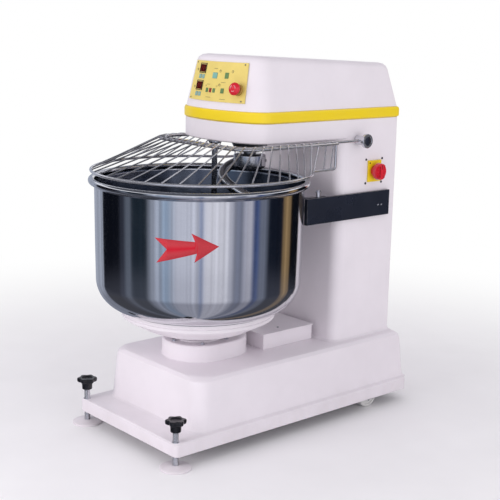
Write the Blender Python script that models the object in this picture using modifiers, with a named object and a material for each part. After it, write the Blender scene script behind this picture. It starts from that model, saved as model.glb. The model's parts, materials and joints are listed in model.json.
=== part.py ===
"""Spiral dough mixer. Metres, +Z up, the front faces -Y, origin on the floor, mid footprint."""

import math

import bmesh
import bpy
from mathutils import Matrix, Vector

GAP = 0.0003  # between pieces that touch

# Bowl and its drive
BOWL_Y = -0.2385  # the bowl's axis stands at x = 0
BOWL_R = 0.402
BOWL_BASE_Z = 0.495
BOWL_CORNER_R = 0.12
BOWL_RIM_Z = 0.992
RIM_R = 0.4125
BEAD_R = 0.0125
SHEET = 0.003
BOWL_SHAFT_R = 0.0255
PAN_BASE_Z = 0.4005
PAN_FLOOR_Z = 0.415
PEDESTAL_HALF = 0.142
PEDESTAL_REAR = BOWL_Y + 0.207
PEDESTAL_TOP = 0.372
BOWL_PULLEY_R = 0.19
BOWL_BELT_Z = 0.140

# Base
PLINTH_HALF = 0.3175
PLINTH_FRONT = BOWL_Y - 0.3474
PLINTH_REAR = BOWL_Y + 0.9015
PLINTH_Z0 = 0.049
PLINTH_Z1 = 0.101
HUMP_TOP = 0.3055
HUMP_HALF = 0.284
HUMP_FRONT = BOWL_Y - 0.222
HUMP_REAR = BOWL_Y + 0.887
HUMP_EDGE_R = 0.030
WALL = 0.004

# Column and head
HEAD_HALF = 0.240
HEAD_FRONT = BOWL_Y + 0.040
HEAD_BOW = 1.0  # the front recedes by HEAD_BOW * x^2
HEAD_Z0 = 1.142
HEAD_Z1 = 1.217
COLUMN_FRONT = BOWL_Y + 0.515
COLUMN_REAR = BOWL_Y + 0.850
BAND_Z1 = 1.261
HOOD_Z0 = BAND_Z1 + GAP
HOOD_TOP = 1.468
HOOD_DROP = 0.042  # the top falls this much per metre towards the rear
HOOD_LEAN_FRONT = 0.047
HOOD_LEAN_SIDE = 0.030
HOOD_LEAN_REAR = 0.045
HOOD_REAR_EASE = 0.3  # the rear top edge is this much sharper than the others
HOOD_SHEET = 0.003

# Spiral and its drive
SPIRAL_Y = BOWL_Y + 0.250
SPIRAL_R = 0.115
HOOK_R = 0.020
SPIRAL_SHAFT_R = 0.025
SPIRAL_PULLEY_R = 0.150
SPIRAL_BELT_Z = 1.245
SPIRAL_MOTOR_Y = BOWL_Y + 0.700
SPIRAL_MOTOR_PULLEY_R = 0.045
BREAKER_Y = BOWL_Y + 0.070

BOWL_MOTOR_Y = BOWL_Y + 0.680
BOWL_MOTOR_PULLEY_R = 0.040
BELT_WIDTH = 0.020
BELT_THICK = 0.006
BELT_CLEAR = 0.0012  # keeps the faceted pulley off the faceted belt

# Bowl guard
GUARD_PIVOT_Y = BOWL_Y + 0.610
GUARD_PIVOT_Z = 1.135
GUARD_SHAFT_R = 0.0100
GUARD_HUB_R = 0.0285
GUARD_SLEEVE_R = 0.0195
GUARD_HUB_X0 = 0.243
GUARD_HUB_X1 = 0.300
GUARD_SIDE_X = 0.265
GUARD_FRONT_Y = BOWL_Y - 0.015  # clears the head when the guard is lifted
GUARD_FRONT_REACH = 0.190
GUARD_BOW = 0.10
GUARD_RING_R = 0.424
GUARD_RING_Y = BOWL_Y + 0.012
GUARD_RING_Z = 1.030
GUARD_BACK_Y = BOWL_Y + 0.465
GUARD_ROD_R = 0.0055
GUARD_WIRE_R = 0.0028
GUARD_WIRES = 36
# Where a wire meets the lower rod, for where it starts on the upper one, as fractions of their lengths
GUARD_WIRE_FEET = ((0, 0), (0.041, 0.019), (0.107, 0.121), (0.24, 0.234), (0.5, 0.5))

# Bowl guide rollers and their arms
ARM_X = 0.255
ARM_DEPTH = 0.0145
ARM_SHEET = 0.0025
ARM_Y0 = BOWL_Y + 0.330
ARM_Y1 = BOWL_Y + 0.802
ARM_Z0 = 0.817
ARM_Z1 = 0.920
STUD_X = 0.236
STUD_Y = BOWL_Y + 0.405
ROLLER_X = 0.205
ROLLER_Y = BOWL_Y + 0.387
ROLLER_R = 0.034
ROLLER_Z0 = 0.855
ROLLER_Z1 = 0.887

# Feet and wheels
FOOT_X = 0.292
FOOT_Y = BOWL_Y - 0.330
PAD_R = 0.059
FOOT_SCREW_R = 0.0115
FOOT_SCREW_TOP = 0.176
FOOT_HOLE_R = FOOT_SCREW_R + 0.0004
FOOT_KNOB_Z = 0.141
WHEEL_R = 0.050
WHEEL_X0 = 0.250
WHEEL_X1 = 0.284
WHEEL_Y = BOWL_Y + 0.700
AXLE_R = 0.008

# Control panel, on the front of the hood
PANEL_Z0 = 1.290
PANEL_Z1 = 1.438
PANEL_HALF_LOW = 0.166
PANEL_HALF_HIGH = 0.152
PANEL_BACK = 0.0012  # stand-off from the hood
PANEL_THICK = 0.0030
ESTOP_X = 0.130
ESTOP_Z = 1.338
ESTOP_STEM_R = 0.0080
KEY_PROUD = 0.0018
KEY_DEEP = 0.0012
KEY_CLEAR = 0.0004

# Name, x, z, width, height, material of each key
KEYS = (
    ("key_speed1_less", -0.099, 1.379, 0.017, 0.016, "key_pale"),
    ("key_speed1_more", -0.076, 1.379, 0.017, 0.016, "key_pale"),
    ("key_speed2_less", -0.105, 1.313, 0.017, 0.016, "key_pale"),
    ("key_speed2_more", -0.082, 1.313, 0.017, 0.016, "key_pale"),
    ("key_mode", 0.000, 1.386, 0.026, 0.022, "key_teal"),
    ("key_start", 0.064, 1.388, 0.018, 0.022, "key_green"),
    ("key_bowl_left", -0.034, 1.330, 0.013, 0.016, "key_green"),
    ("key_bowl_stop", -0.013, 1.330, 0.013, 0.016, "key_red"),
    ("key_bowl_right", 0.008, 1.330, 0.013, 0.016, "key_green"),
    ("key_jog", 0.054, 1.331, 0.016, 0.018, "key_green"),
)

# Main switch, on the column's right side
SWITCH_Y = BOWL_Y + 0.7155
SWITCH_Z = 1.003
SWITCH_PLATE_H = 0.088
SWITCH_PLATE_W = 0.078
SWITCH_PLATE_T = 0.006
SWITCH_KNOB_R = 0.035
SWITCH_KNOB_DEPTH = 0.040
SWITCH_GRIP_HALF = 0.0305
SWITCH_NECK_R = 0.024
SWITCH_NECK_DEPTH = 0.016

# Colour, roughness and metallic value of each material
LOOKS = {
    "body_white": ((0.82, 0.78, 0.81), 0.35, 0.0),
    "band_yellow": ((0.85, 0.62, 0.03), 0.40, 0.0),
    "panel_yellow": ((0.85, 0.72, 0.30), 0.45, 0.0),
    "stainless": ((0.62, 0.63, 0.66), 0.12, 1.0),
    "chrome": ((0.72, 0.73, 0.76), 0.10, 1.0),
    "steel": ((0.45, 0.46, 0.48), 0.35, 1.0),
    "cast": ((0.20, 0.22, 0.25), 0.55, 0.6),
    "arm_black": ((0.03, 0.04, 0.06), 0.40, 0.0),
    "black_plastic": ((0.02, 0.02, 0.02), 0.45, 0.0),
    "rubber": ((0.03, 0.03, 0.03), 0.80, 0.0),
    "roller_white": ((0.75, 0.75, 0.74), 0.50, 0.0),
    "display": ((0.10, 0.005, 0.005), 0.15, 0.0),
    "red": ((0.70, 0.01, 0.03), 0.30, 0.0),
    "key_pale": ((0.45, 0.62, 0.58), 0.50, 0.0),
    "key_teal": ((0.20, 0.55, 0.48), 0.50, 0.0),
    "key_green": ((0.22, 0.42, 0.16), 0.50, 0.0),
    "key_red": ((0.35, 0.03, 0.03), 0.50, 0.0),
}


# ---------------------------------------------------------------- scene and materials

for old in list(bpy.data.objects):
    bpy.data.objects.remove(old)

parts = bpy.data.collections.new("spiral_dough_mixer")
cutters = bpy.data.collections.new("cutters")
bpy.context.scene.collection.children.link(parts)
bpy.context.scene.collection.children.link(cutters)
cutters.hide_render = True


def look(name):
    """The material of this name, made on first use."""
    found = bpy.data.materials.get(name)
    if found:
        return found
    colour, roughness, metallic = LOOKS[name]
    made = bpy.data.materials.new(name)
    made.use_nodes = True
    shader = made.node_tree.nodes["Principled BSDF"]
    shader.inputs["Base Color"].default_value = (*colour, 1.0)
    shader.inputs["Roughness"].default_value = roughness
    shader.inputs["Metallic"].default_value = metallic
    return made


def keep(obj, material):
    """Puts an object among the parts."""
    parts.objects.link(obj)
    obj.data.materials.append(look(material))
    if obj.type == "MESH" and len(obj.data.polygons):
        obj.data.shade_smooth()
        obj.data.set_sharp_from_angle(angle=math.radians(35))
    return obj


def helper(obj):
    """Puts an object among the cutters."""
    cutters.objects.link(obj)
    obj.hide_render = True
    obj.display_type = "WIRE"
    return obj


def from_bmesh(name, bm):
    bmesh.ops.recalc_face_normals(bm, faces=bm.faces)
    mesh = bpy.data.meshes.new(name)
    bm.to_mesh(mesh)
    bm.free()
    return bpy.data.objects.new(name, mesh)


def pivot(name, place):
    """An empty on a joint's axis, which the moving pieces hang from."""
    empty = bpy.data.objects.new(name, None)
    empty.empty_display_size = 0.05
    empty.location = place
    parts.objects.link(empty)
    bpy.context.view_layer.update()
    return empty


def hang(empty, *pieces):
    for piece in pieces:
        piece.parent = empty
        piece.matrix_parent_inverse = empty.matrix_world.inverted()


def boolean(obj, other, operation, solver="EXACT"):
    modifier = obj.modifiers.new(operation.title() + "_" + other.name, "BOOLEAN")
    modifier.operation = operation
    modifier.object = other
    modifier.solver = solver


def cut(obj, *others, solver="EXACT"):
    for other in others:
        boolean(obj, other, "DIFFERENCE", solver)


def join(obj, *others, solver="EXACT"):
    for other in others:
        boolean(obj, other, "UNION", solver)


# ---------------------------------------------------------------- basic shapes

def box(name, low, high, place=None):
    """A box between two corners, or about the origin of a placing matrix."""
    bm = bmesh.new()
    low, high = Vector(low), Vector(high)
    size = high - low
    middle = (high + low) / 2
    matrix = Matrix.Translation(middle) @ Matrix.Diagonal((*size, 1.0))
    bmesh.ops.create_cube(bm, size=1.0, matrix=(place or Matrix()) @ matrix)
    return from_bmesh(name, bm)


def boxes(name, corners, places=None):
    """Several separate boxes in one mesh, for cutting."""
    bm = bmesh.new()
    for i, (low, high) in enumerate(corners):
        low, high = Vector(low), Vector(high)
        matrix = Matrix.Translation((high + low) / 2) @ Matrix.Diagonal((*(high - low), 1.0))
        place = places[i] if places else Matrix()
        bmesh.ops.create_cube(bm, size=1.0, matrix=place @ matrix)
    return from_bmesh(name, bm)


def turned(name, profile, place=(0, 0, 0), along="Z", steps=32, closed=True):
    """A turned piece. The profile is (radius, height) pairs that run down the outer side."""
    mesh = bpy.data.meshes.new(name)
    count = len(profile)
    edges = [(i, i + 1) for i in range(count - 1)]
    if closed:
        edges.append((count - 1, 0))
    mesh.from_pydata([(r, 0.0, h) for r, h in profile], edges, [])
    obj = bpy.data.objects.new(name, mesh)
    screw = obj.modifiers.new("Screw", "SCREW")
    screw.steps = steps
    screw.render_steps = steps
    screw.use_merge_vertices = True
    screw.merge_threshold = 0.00001
    turn = Matrix()
    if along == "X":
        turn = Matrix.Rotation(math.radians(90), 4, "Y")
    elif along == "-X":
        turn = Matrix.Rotation(math.radians(-90), 4, "Y")
    elif along == "Y":
        turn = Matrix.Rotation(math.radians(-90), 4, "X")
    obj.matrix_world = Matrix.Translation(place) @ turn
    return obj


def cylinder(name, radius, h0, h1, place=(0, 0, 0), along="Z", steps=32):
    return turned(name, [(0, h1), (radius, h1), (radius, h0), (0, h0)], place, along, steps, closed=False)


def baked(obj):
    """The evaluated shape of a helper, as a plain mesh object in world space."""
    bpy.context.scene.collection.objects.link(obj)
    bpy.context.view_layer.update()
    graph = bpy.context.evaluated_depsgraph_get()
    mesh = bpy.data.meshes.new_from_object(obj.evaluated_get(graph))
    bm = bmesh.new()
    bm.from_mesh(mesh)
    bmesh.ops.remove_doubles(bm, verts=bm.verts, dist=0.00001)
    bmesh.ops.transform(bm, matrix=obj.matrix_world, verts=bm.verts)
    made = from_bmesh(obj.name + "_solid", bm)
    bpy.data.objects.remove(obj)
    return made


def rod(name, points, radius, cyclic=False, sides=2):
    """A round rod along the points, as a closed mesh."""
    curve = bpy.data.curves.new(name, "CURVE")
    curve.dimensions = "3D"
    curve.bevel_depth = radius
    curve.bevel_resolution = sides
    curve.use_fill_caps = True
    spline = curve.splines.new("POLY")
    spline.points.add(len(points) - 1)
    for target, point in zip(spline.points, points):
        target.co = (*point, 1.0)
    spline.use_cyclic_u = cyclic
    return baked(bpy.data.objects.new(name, curve))


def merged(name, objects):
    """Separate closed meshes in one mesh, as one operand for a Boolean."""
    bm = bmesh.new()
    for obj in objects:
        bm.from_mesh(obj.data)
        bpy.data.objects.remove(obj)
    return from_bmesh(name, bm)


def loft(name, rings, endless=False):
    """A closed body through rings of equally many points. An endless one joins its last ring to its first."""
    bm = bmesh.new()
    rows = [[bm.verts.new(point) for point in ring] for ring in rings]
    count = len(rows[0])
    pairs = list(zip(rows, rows[1:]))
    if endless:
        pairs.append((rows[-1], rows[0]))
    for low, high in pairs:
        for i in range(count):
            j = (i + 1) % count
            bm.faces.new((low[i], low[j], high[j], high[i]))
    if not endless:
        bm.faces.new(rows[0][::-1])
        bm.faces.new(rows[-1])
    return from_bmesh(name, bm)


def arc(cx, cy, radius, start, end, steps):
    """Points on a circle's arc, angles in degrees, both ends included."""
    angles = [math.radians(start + (end - start) * i / steps) for i in range(steps + 1)]
    return [(cx + radius * math.cos(a), cy + radius * math.sin(a)) for a in angles]


def rounded_ring(half, front, rear, radius, z, steps=5, rear_radius=None):
    """A rounded rectangle at height z, anticlockwise from its front right corner."""
    back = radius if rear_radius is None else rear_radius
    flat = arc(half - radius, front + radius, radius, -90, 0, steps)
    flat += arc(half - back, rear - back, back, 0, 90, steps)
    flat += arc(back - half, rear - back, back, 90, 180, steps)
    flat += arc(radius - half, front + radius, radius, 180, 270, steps)
    return [(x, y, z) for x, y in flat]


FRONT_STEPS = 10
FRONT_REACH = 0.165  # the bowed front runs this far each way before its corners
CORNER_STEPS = 4
REAR_R = 0.010


def head_outline(inset_x, front, rear):
    """The head's plan: a bowed front, large front corners, straight sides and small rear corners."""
    half = HEAD_HALF - inset_x
    reach = FRONT_REACH - inset_x
    bowed = [(reach * (2 * i / FRONT_STEPS - 1), 0) for i in range(FRONT_STEPS + 1)]
    flat = [(x, front + HEAD_BOW * x * x) for x, _ in bowed]
    end_x, end_y = flat[-1]
    slope = 2 * HEAD_BOW * reach
    corner = (half, end_y + slope * (half - end_x))
    side_y = corner[1] + 0.055
    for i in range(1, CORNER_STEPS + 1):
        t = i / CORNER_STEPS
        x = (1 - t) ** 2 * end_x + 2 * t * (1 - t) * corner[0] + t * t * half
        y = (1 - t) ** 2 * end_y + 2 * t * (1 - t) * corner[1] + t * t * side_y
        flat.append((x, y))
    flat += arc(half - REAR_R, rear - REAR_R, REAR_R, 0, 90, 4)
    mirrored = [(-x, y) for x, y in flat[FRONT_STEPS + 1:]][::-1]
    return flat + mirrored


def head_ring(inset, z, front_in=None, rear_in=None):
    front = HEAD_FRONT + (inset if front_in is None else front_in)
    rear = COLUMN_REAR - (inset if rear_in is None else rear_in)
    return [(x, y, z) for x, y in head_outline(inset, front, rear)]


# ---------------------------------------------------------------- base and column

def base_shell():
    """The base casing: a flat plinth with a deep hump on it, open underneath."""
    outer = [
        rounded_ring(PLINTH_HALF - 0.002, PLINTH_FRONT + 0.002, PLINTH_REAR - 0.002, 0.018, PLINTH_Z0),
        rounded_ring(PLINTH_HALF, PLINTH_FRONT, PLINTH_REAR, 0.020, PLINTH_Z0 + 0.002),
        rounded_ring(PLINTH_HALF, PLINTH_FRONT, PLINTH_REAR, 0.020, PLINTH_Z1 - 0.005),
        rounded_ring(PLINTH_HALF - 0.005, PLINTH_FRONT + 0.005, PLINTH_REAR - 0.003, 0.018, PLINTH_Z1),
    ]
    # Distance outside the hump's upper wall, and height, from the shelf up over the top edge
    for out, z in ((0.021, 0.1015), (0.014, 0.106), (0.010, 0.120), (0.0, 0.270)):
        outer.append(hump_ring(out, z))
    for degrees in (30, 60, 90):
        turn = math.radians(degrees)
        out = HUMP_EDGE_R * (math.cos(turn) - 1)
        outer.append(hump_ring(out, HUMP_TOP - HUMP_EDGE_R + HUMP_EDGE_R * math.sin(turn)))
    inner = [
        rounded_ring(PLINTH_HALF - WALL, PLINTH_FRONT + WALL, PLINTH_REAR - WALL, 0.016, PLINTH_Z0),
        rounded_ring(PLINTH_HALF - WALL, PLINTH_FRONT + WALL, PLINTH_REAR - WALL, 0.016, PLINTH_Z1 - 0.007),
        hump_ring(0.006, PLINTH_Z1 - 0.004),
        hump_ring(-WALL, 0.25),
        hump_ring(-0.030, HUMP_TOP - WALL),
    ]
    shell = loft("base_shell", inner[::-1][:-1] + [inner[0]] + outer)
    cut(
        shell,
        helper(cylinder("bearing_hole", 0.0510, 0.28, 0.33, (0, BOWL_Y, 0))),
        helper(box("motor_window", (-0.16, BOWL_Y + 0.56, 0.28), (0.16, BOWL_Y + 0.81, 0.33))),
        helper(cylinder("foot_hole_right", FOOT_HOLE_R, 0.08, 0.12, (FOOT_X, FOOT_Y, 0), steps=24)),
        helper(cylinder("foot_hole_left", FOOT_HOLE_R, 0.08, 0.12, (-FOOT_X, FOOT_Y, 0), steps=24)),
    )
    return keep(shell, "body_white")


def hump_ring(out, z):
    return rounded_ring(HUMP_HALF + out, HUMP_FRONT - out, HUMP_REAR + 1.3 * out, 0.062, z, 5, 0.012)


def column_ring(out, z):
    return rounded_ring(HEAD_HALF + out, COLUMN_FRONT - out, COLUMN_REAR + out, 0.045, z, 5, 0.008)


def column_shell():
    """The column and the head housing, one welded sheet shell, open at the top and the bottom."""
    foot = HUMP_TOP + GAP
    steps = ((0.013, 0.0), (0.007, 0.003), (0.002, 0.008), (0.0, 0.017))
    column = [column_ring(out, foot + up) for out, up in steps] + [column_ring(0.0, HEAD_Z0 + 0.02)]
    shell = loft("column_shell", column)
    head = [
        head_ring(0.004, HEAD_Z0),
        head_ring(0.0, HEAD_Z0 + 0.004),
        head_ring(0.0, HEAD_Z1),
    ]
    join(shell, helper(loft("head_block", head)))
    inside = [column_ring(-WALL, foot - 0.02), column_ring(-WALL, HEAD_Z1 - 0.01)]
    above = [head_ring(WALL, HEAD_Z0 + WALL), head_ring(WALL, HEAD_Z1 + 0.02)]
    window = box("rear_window", (-0.195, COLUMN_REAR - 0.05, 0.42), (0.195, COLUMN_REAR + 0.05, 1.10))
    cut(
        shell,
        helper(loft("column_inside", inside)),
        helper(loft("head_inside", above)),
        helper(window),
        helper(cylinder("spiral_hole", 0.0560, 1.12, 1.16, (0, SPIRAL_Y, 0))),
        helper(
            cylinder(
                "guard_shaft_hole", GUARD_SHAFT_R + 0.0004, -0.30, 0.30,
                (0, GUARD_PIVOT_Y, GUARD_PIVOT_Z), "X", 20,
            )
        ),
        helper(cylinder("switch_hole", 0.0085, 0.20, 0.30, (0, SWITCH_Y, SWITCH_Z), "X", 24)),
        helper(cylinder("gland_hole", 0.0104, 0.0, 0.05, (-0.12, COLUMN_REAR - 0.03, 0.365), "Y", 24)),
    )
    return keep(shell, "body_white")


def rear_panel():
    """The service panel on the column's rear, with louvre slots low down."""
    low = (-0.213, COLUMN_REAR + GAP, 0.402)
    high = (0.213, COLUMN_REAR + GAP + 0.002, 1.118)
    panel = box("column_rear_panel", low, high)
    slots = []
    for side in (-1, 1):
        for row in range(5):
            z = 0.50 + 0.03 * row
            low = (side * 0.09 - 0.06, COLUMN_REAR - 0.01, z)
            high = (side * 0.09 + 0.06, COLUMN_REAR + 0.02, z + 0.008)
            slots.append((low, high))
    cut(panel, helper(boxes("louvre_slots", slots)))
    return keep(panel, "body_white")


def trim_band():
    """The yellow edging between the head and the hood."""
    proud = 0.005
    rings = [
        head_ring(0.002, HEAD_Z1 + GAP),
        head_ring(-proud, HEAD_Z1 + 0.006),
        head_ring(-proud, BAND_Z1 - 0.010),
        head_ring(-0.002, BAND_Z1 - 0.002),
        head_ring(0.002, BAND_Z1),
        head_ring(0.014, BAND_Z1),
        head_ring(0.014, HEAD_Z1 + GAP),
    ]
    return keep(loft("trim_band", rings, endless=True), "band_yellow")


def hood_ring(height, ease, sheet=0.0):
    """A ring of the hood at a fraction of its height. The top slopes, so its height depends on y."""
    inset_x = 0.003 + HOOD_LEAN_SIDE * height + ease + sheet
    front = HEAD_FRONT + 0.003 + HOOD_LEAN_FRONT * height + ease + sheet
    rear = COLUMN_REAR - 0.003 - HOOD_LEAN_REAR * height - HOOD_REAR_EASE * ease - sheet
    ring = []
    for x, y in head_outline(inset_x, front, rear):
        top = HOOD_TOP - HOOD_DROP * (y - HEAD_FRONT)
        ring.append((x, y, HOOD_Z0 + height * (top - HOOD_Z0)))
    return ring


def hood():
    """The lift-off hood over the spiral's drive, open underneath."""
    outer = [hood_ring(h, i) for h, i in ((0, 0), (0.86, 0), (0.93, 0.004), (0.98, 0.015), (1.0, 0.034))]
    sheet = HOOD_SHEET
    inner = [hood_ring(h, i, sheet) for h, i in ((0, 0), (0.85, 0), (0.92, 0.004), (0.983, 0.034))]
    shell = loft("hood", inner[::-1] + outer)
    cut(shell, helper(estop_hole("hood_estop_hole", 0.0115)))
    return keep(shell, "body_white")


# ---------------------------------------------------------------- control panel

def panel_y(x, z):
    """Where the hood's front lies at (x, z)."""
    height = (z - HOOD_Z0) / (HOOD_TOP - HOOD_Z0)
    return HEAD_FRONT + 0.003 + HOOD_LEAN_FRONT * height + HEAD_BOW * x * x


def panel_place(x, z, out=PANEL_BACK + PANEL_THICK):
    """A matrix on the panel's face: X across, Y up the panel, Z outwards."""
    lean = HOOD_LEAN_FRONT / (HOOD_TOP - HOOD_Z0)
    outward = Vector((2 * HEAD_BOW * x, -1.0, lean)).normalized()
    across = Vector((0, 0, 1)).cross(outward).normalized()
    upward = outward.cross(across)
    turn = Matrix((across, upward, outward)).transposed().to_4x4()
    return Matrix.Translation((x, panel_y(x, z) - out, z)) @ turn


def estop_hole(name, radius):
    hole = cylinder(name, radius, -0.03, 0.03, steps=24)
    hole.matrix_world = panel_place(ESTOP_X, ESTOP_Z)
    return hole


def control_panel():
    """The thin panel that follows the hood's bowed front."""
    columns = 12
    rings = []
    for i in range(columns + 1):
        side = 2 * i / columns - 1
        corners = (
            (side * PANEL_HALF_LOW, PANEL_Z0, PANEL_BACK),
            (side * PANEL_HALF_LOW, PANEL_Z0, PANEL_BACK + PANEL_THICK),
            (side * PANEL_HALF_HIGH, PANEL_Z1, PANEL_BACK + PANEL_THICK),
            (side * PANEL_HALF_HIGH, PANEL_Z1, PANEL_BACK),
        )
        rings.append([(x, panel_y(x, z) - out, z) for x, z, out in corners])
    panel = loft("control_panel", rings)
    holes = []
    places = []
    for _, x, z, width, height, _ in KEYS:
        half_w = width / 2 + KEY_CLEAR
        half_h = height / 2 + KEY_CLEAR
        holes.append(((-half_w, -half_h, -0.01), (half_w, half_h, 0.01)))
        places.append(panel_place(x, z))
    cut(panel, helper(boxes("key_holes", holes, places)), helper(estop_hole("panel_estop_hole", 0.0115)))
    return keep(panel, "panel_yellow")


def display(name, x, z):
    return keep(box(name, (-0.019, -0.0145, 0.0005), (0.019, 0.0145, 0.0025), panel_place(x, z)), "display")


def key(name, x, z, width, height, material):
    """A key that travels in its hole in the panel."""
    place = panel_place(x, z)
    cap = box(name, (-width / 2, -height / 2, -KEY_DEEP), (width / 2, height / 2, KEY_PROUD), place)
    hang(pivot(name + "_pivot", place.translation), keep(cap, material))
    return cap


def emergency_stop():
    """A collar on the panel, and in it a sliding stem with a mushroom cap that turns to let go."""
    place = panel_place(ESTOP_X, ESTOP_Z)
    collar_profile = [(0.0095, 0.010), (0.0190, 0.010), (0.0215, 0.008), (0.0215, 0.0005), (0.0095, 0.0005)]
    collar = turned("e_stop_collar", collar_profile, steps=20)
    collar.matrix_world = place
    keep(collar, "band_yellow")
    stem_profile = [(0, 0.0285), (0.006, 0.0285), (0.006, 0.0180)]
    stem_profile += [(ESTOP_STEM_R, 0.0180), (ESTOP_STEM_R, -0.028), (0, -0.028)]
    stem = turned("e_stop_stem", stem_profile, steps=24, closed=False)
    stem.matrix_world = place
    cap_profile = [
        (0, 0.0395), (0.011, 0.0385), (0.020, 0.0345), (0.0245, 0.0285), (0.0235, 0.0235), (0.016, 0.0183),
        (0.0063, 0.0183), (0.0063, 0.0288), (0, 0.0288),
    ]
    cap = turned("e_stop_cap", cap_profile, steps=20, closed=False)
    cap.matrix_world = place
    empty = pivot("e_stop_pivot", place.translation)
    hang(empty, keep(stem, "steel"), keep(cap, "red"))


def electrical_box():
    low = (-0.13, HEAD_FRONT + 0.09, 1.285)
    high = (0.10, HEAD_FRONT + 0.17, 1.405)
    return keep(box("electrical_box", low, high), "black_plastic")


# ---------------------------------------------------------------- bowl

def bowl():
    """The bowl, its pan, its shaft and its pulley, which turn together."""
    corner = BOWL_CORNER_R
    low_r = BOWL_R - 0.004  # the wall tapers a little
    bead = arc(RIM_R, BOWL_RIM_Z, BEAD_R, 215, -65, 6)
    wall = [(BOWL_R, BOWL_RIM_Z - 0.020)]
    bend = arc(low_r - corner, BOWL_BASE_Z + corner, corner, 0, -90, 5)
    inner_bend = arc(low_r - corner, BOWL_BASE_Z + corner, corner - SHEET, -90, 0, 5)
    profile = [(0, BOWL_BASE_Z + SHEET)] + inner_bend + [(BOWL_R - SHEET, BOWL_RIM_Z - 0.016)]
    profile += bead + wall + bend + [(0, BOWL_BASE_Z)]
    shell = keep(turned("bowl_shell", profile, (0, BOWL_Y, 0), steps=40, closed=False), "stainless")
    top = BOWL_BASE_Z - GAP
    pan_profile = [
        (0.300, top), (0.300, 0.4835), (0.2975, 0.4825), (0.2975, 0.4795), (0.300, 0.4785), (0.300, 0.466),
        (0.215, 0.420), (0.172, 0.404), (0.160, PAN_BASE_Z), (0.0262, PAN_BASE_Z), (0.0262, PAN_FLOOR_Z),
        (0.150, PAN_FLOOR_Z), (0.205, 0.428), (0.278, 0.470), (0.278, top),
    ]
    pan = keep(turned("bowl_pan", pan_profile, (0, BOWL_Y, 0), steps=32), "body_white")
    shaft_profile = [
        (0, top), (0.070, top), (0.070, PAN_FLOOR_Z + GAP),
        (BOWL_SHAFT_R, PAN_FLOOR_Z + GAP), (BOWL_SHAFT_R, 0.1540),
        (0.020, 0.1540), (0.020, 0.1180), (0, 0.1180),
    ]
    shaft = keep(turned("bowl_shaft", shaft_profile, (0, BOWL_Y, 0), steps=24, closed=False), "steel")
    wheel = keep(pulley("bowl_pulley", BOWL_PULLEY_R, 0.0203, BOWL_BELT_Z, (0, BOWL_Y, 0), 32), "cast")
    hang(pivot("bowl_pivot", (0, BOWL_Y, 0)), shell, pan, shaft, wheel)


def pulley(name, radius, bore, belt_z, place, steps):
    """A flat belt pulley. A large one has a web thinner than its rim and its hub."""
    half = BELT_WIDTH / 2 + 0.0035
    hub, rim = bore + 0.014, radius - 0.012
    profile = [(bore, half), (radius, half), (radius, -half), (bore, -half)]
    if rim > 2 * hub:
        web = 0.004
        profile = [
            (bore, half), (hub, half), (hub, web), (rim, web), (rim, half), (radius, half),
            (radius, -half), (rim, -half), (rim, -web), (hub, -web), (hub, -half), (bore, -half),
        ]
    return turned(name, profile, (place[0], place[1], belt_z), steps=steps)


def belt(name, y1, r1, y2, r2, z):
    """A flat belt round two pulleys on the line x = 0, the larger one at y1."""
    def path(thick):
        a, b = r1 + thick, r2 + thick
        tilt = math.degrees(math.asin((a - b) / abs(y2 - y1)))
        far = arc(0, y2, b, tilt, 180 - tilt, 10)
        near = arc(0, y1, a, 180 - tilt, 360 + tilt, 26)
        return far + near
    inner = path(BELT_CLEAR)
    outer = path(BELT_CLEAR + BELT_THICK)
    low, high = z - BELT_WIDTH / 2, z + BELT_WIDTH / 2
    rings = [
        [(x, y, low) for x, y in outer],
        [(x, y, high) for x, y in outer],
        [(x, y, high) for x, y in inner],
        [(x, y, low) for x, y in inner],
    ]
    return keep(loft(name, rings, endless=True), "rubber")


def pedestal_ring(inset, z):
    half = PEDESTAL_HALF - inset
    return rounded_ring(half, BOWL_Y - half, PEDESTAL_REAR - inset, half - 0.0005, z, 9)


def bearing_housing():
    """The pedestal that carries the bowl's shaft: round at both ends, a neck above, a sleeve below."""
    low = HUMP_TOP + GAP
    rings = []
    for inset, z in ((-0.004, low), (0, 0.312), (0, 0.364), (0.003, 0.370), (0.008, PEDESTAL_TOP)):
        rings.append(pedestal_ring(inset, z))
    housing = loft("bowl_bearing_housing", rings)
    neck_profile = [
        (0, 0.398), (0.082, 0.398), (0.085, 0.395), (0.085, 0.380),
        (0.098, 0.378), (0.098, PEDESTAL_TOP - 0.002),
        (0.050, PEDESTAL_TOP - 0.002), (0.050, 0.215), (0, 0.215),
    ]
    join(housing, helper(baked(turned("housing_neck", neck_profile, (0, BOWL_Y, 0), steps=28, closed=False))))
    cut(housing, helper(cylinder("housing_bore", 0.0262, 0.20, 0.41, (0, BOWL_Y, 0), steps=28)))
    return keep(housing, "body_white")


def base_top_plate():
    """The folded cover over the belt, between the bearing housing and the column."""
    front, rear = BOWL_Y + 0.212, COLUMN_FRONT - 0.026
    low = HUMP_TOP + GAP
    cover = box("base_top_plate", (-0.150, front, 0.3675), (0.150, rear, 0.3715))
    skirt = box("cover_skirt", (-0.142, front + 0.008, low), (0.142, rear - 0.001, 0.369))
    hollow = box("cover_hollow", (-0.139, front + 0.011, low - 0.01), (0.139, rear - 0.004, 0.3668))
    join(cover, helper(skirt))
    cut(cover, helper(hollow))
    return keep(cover, "body_white")


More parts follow.
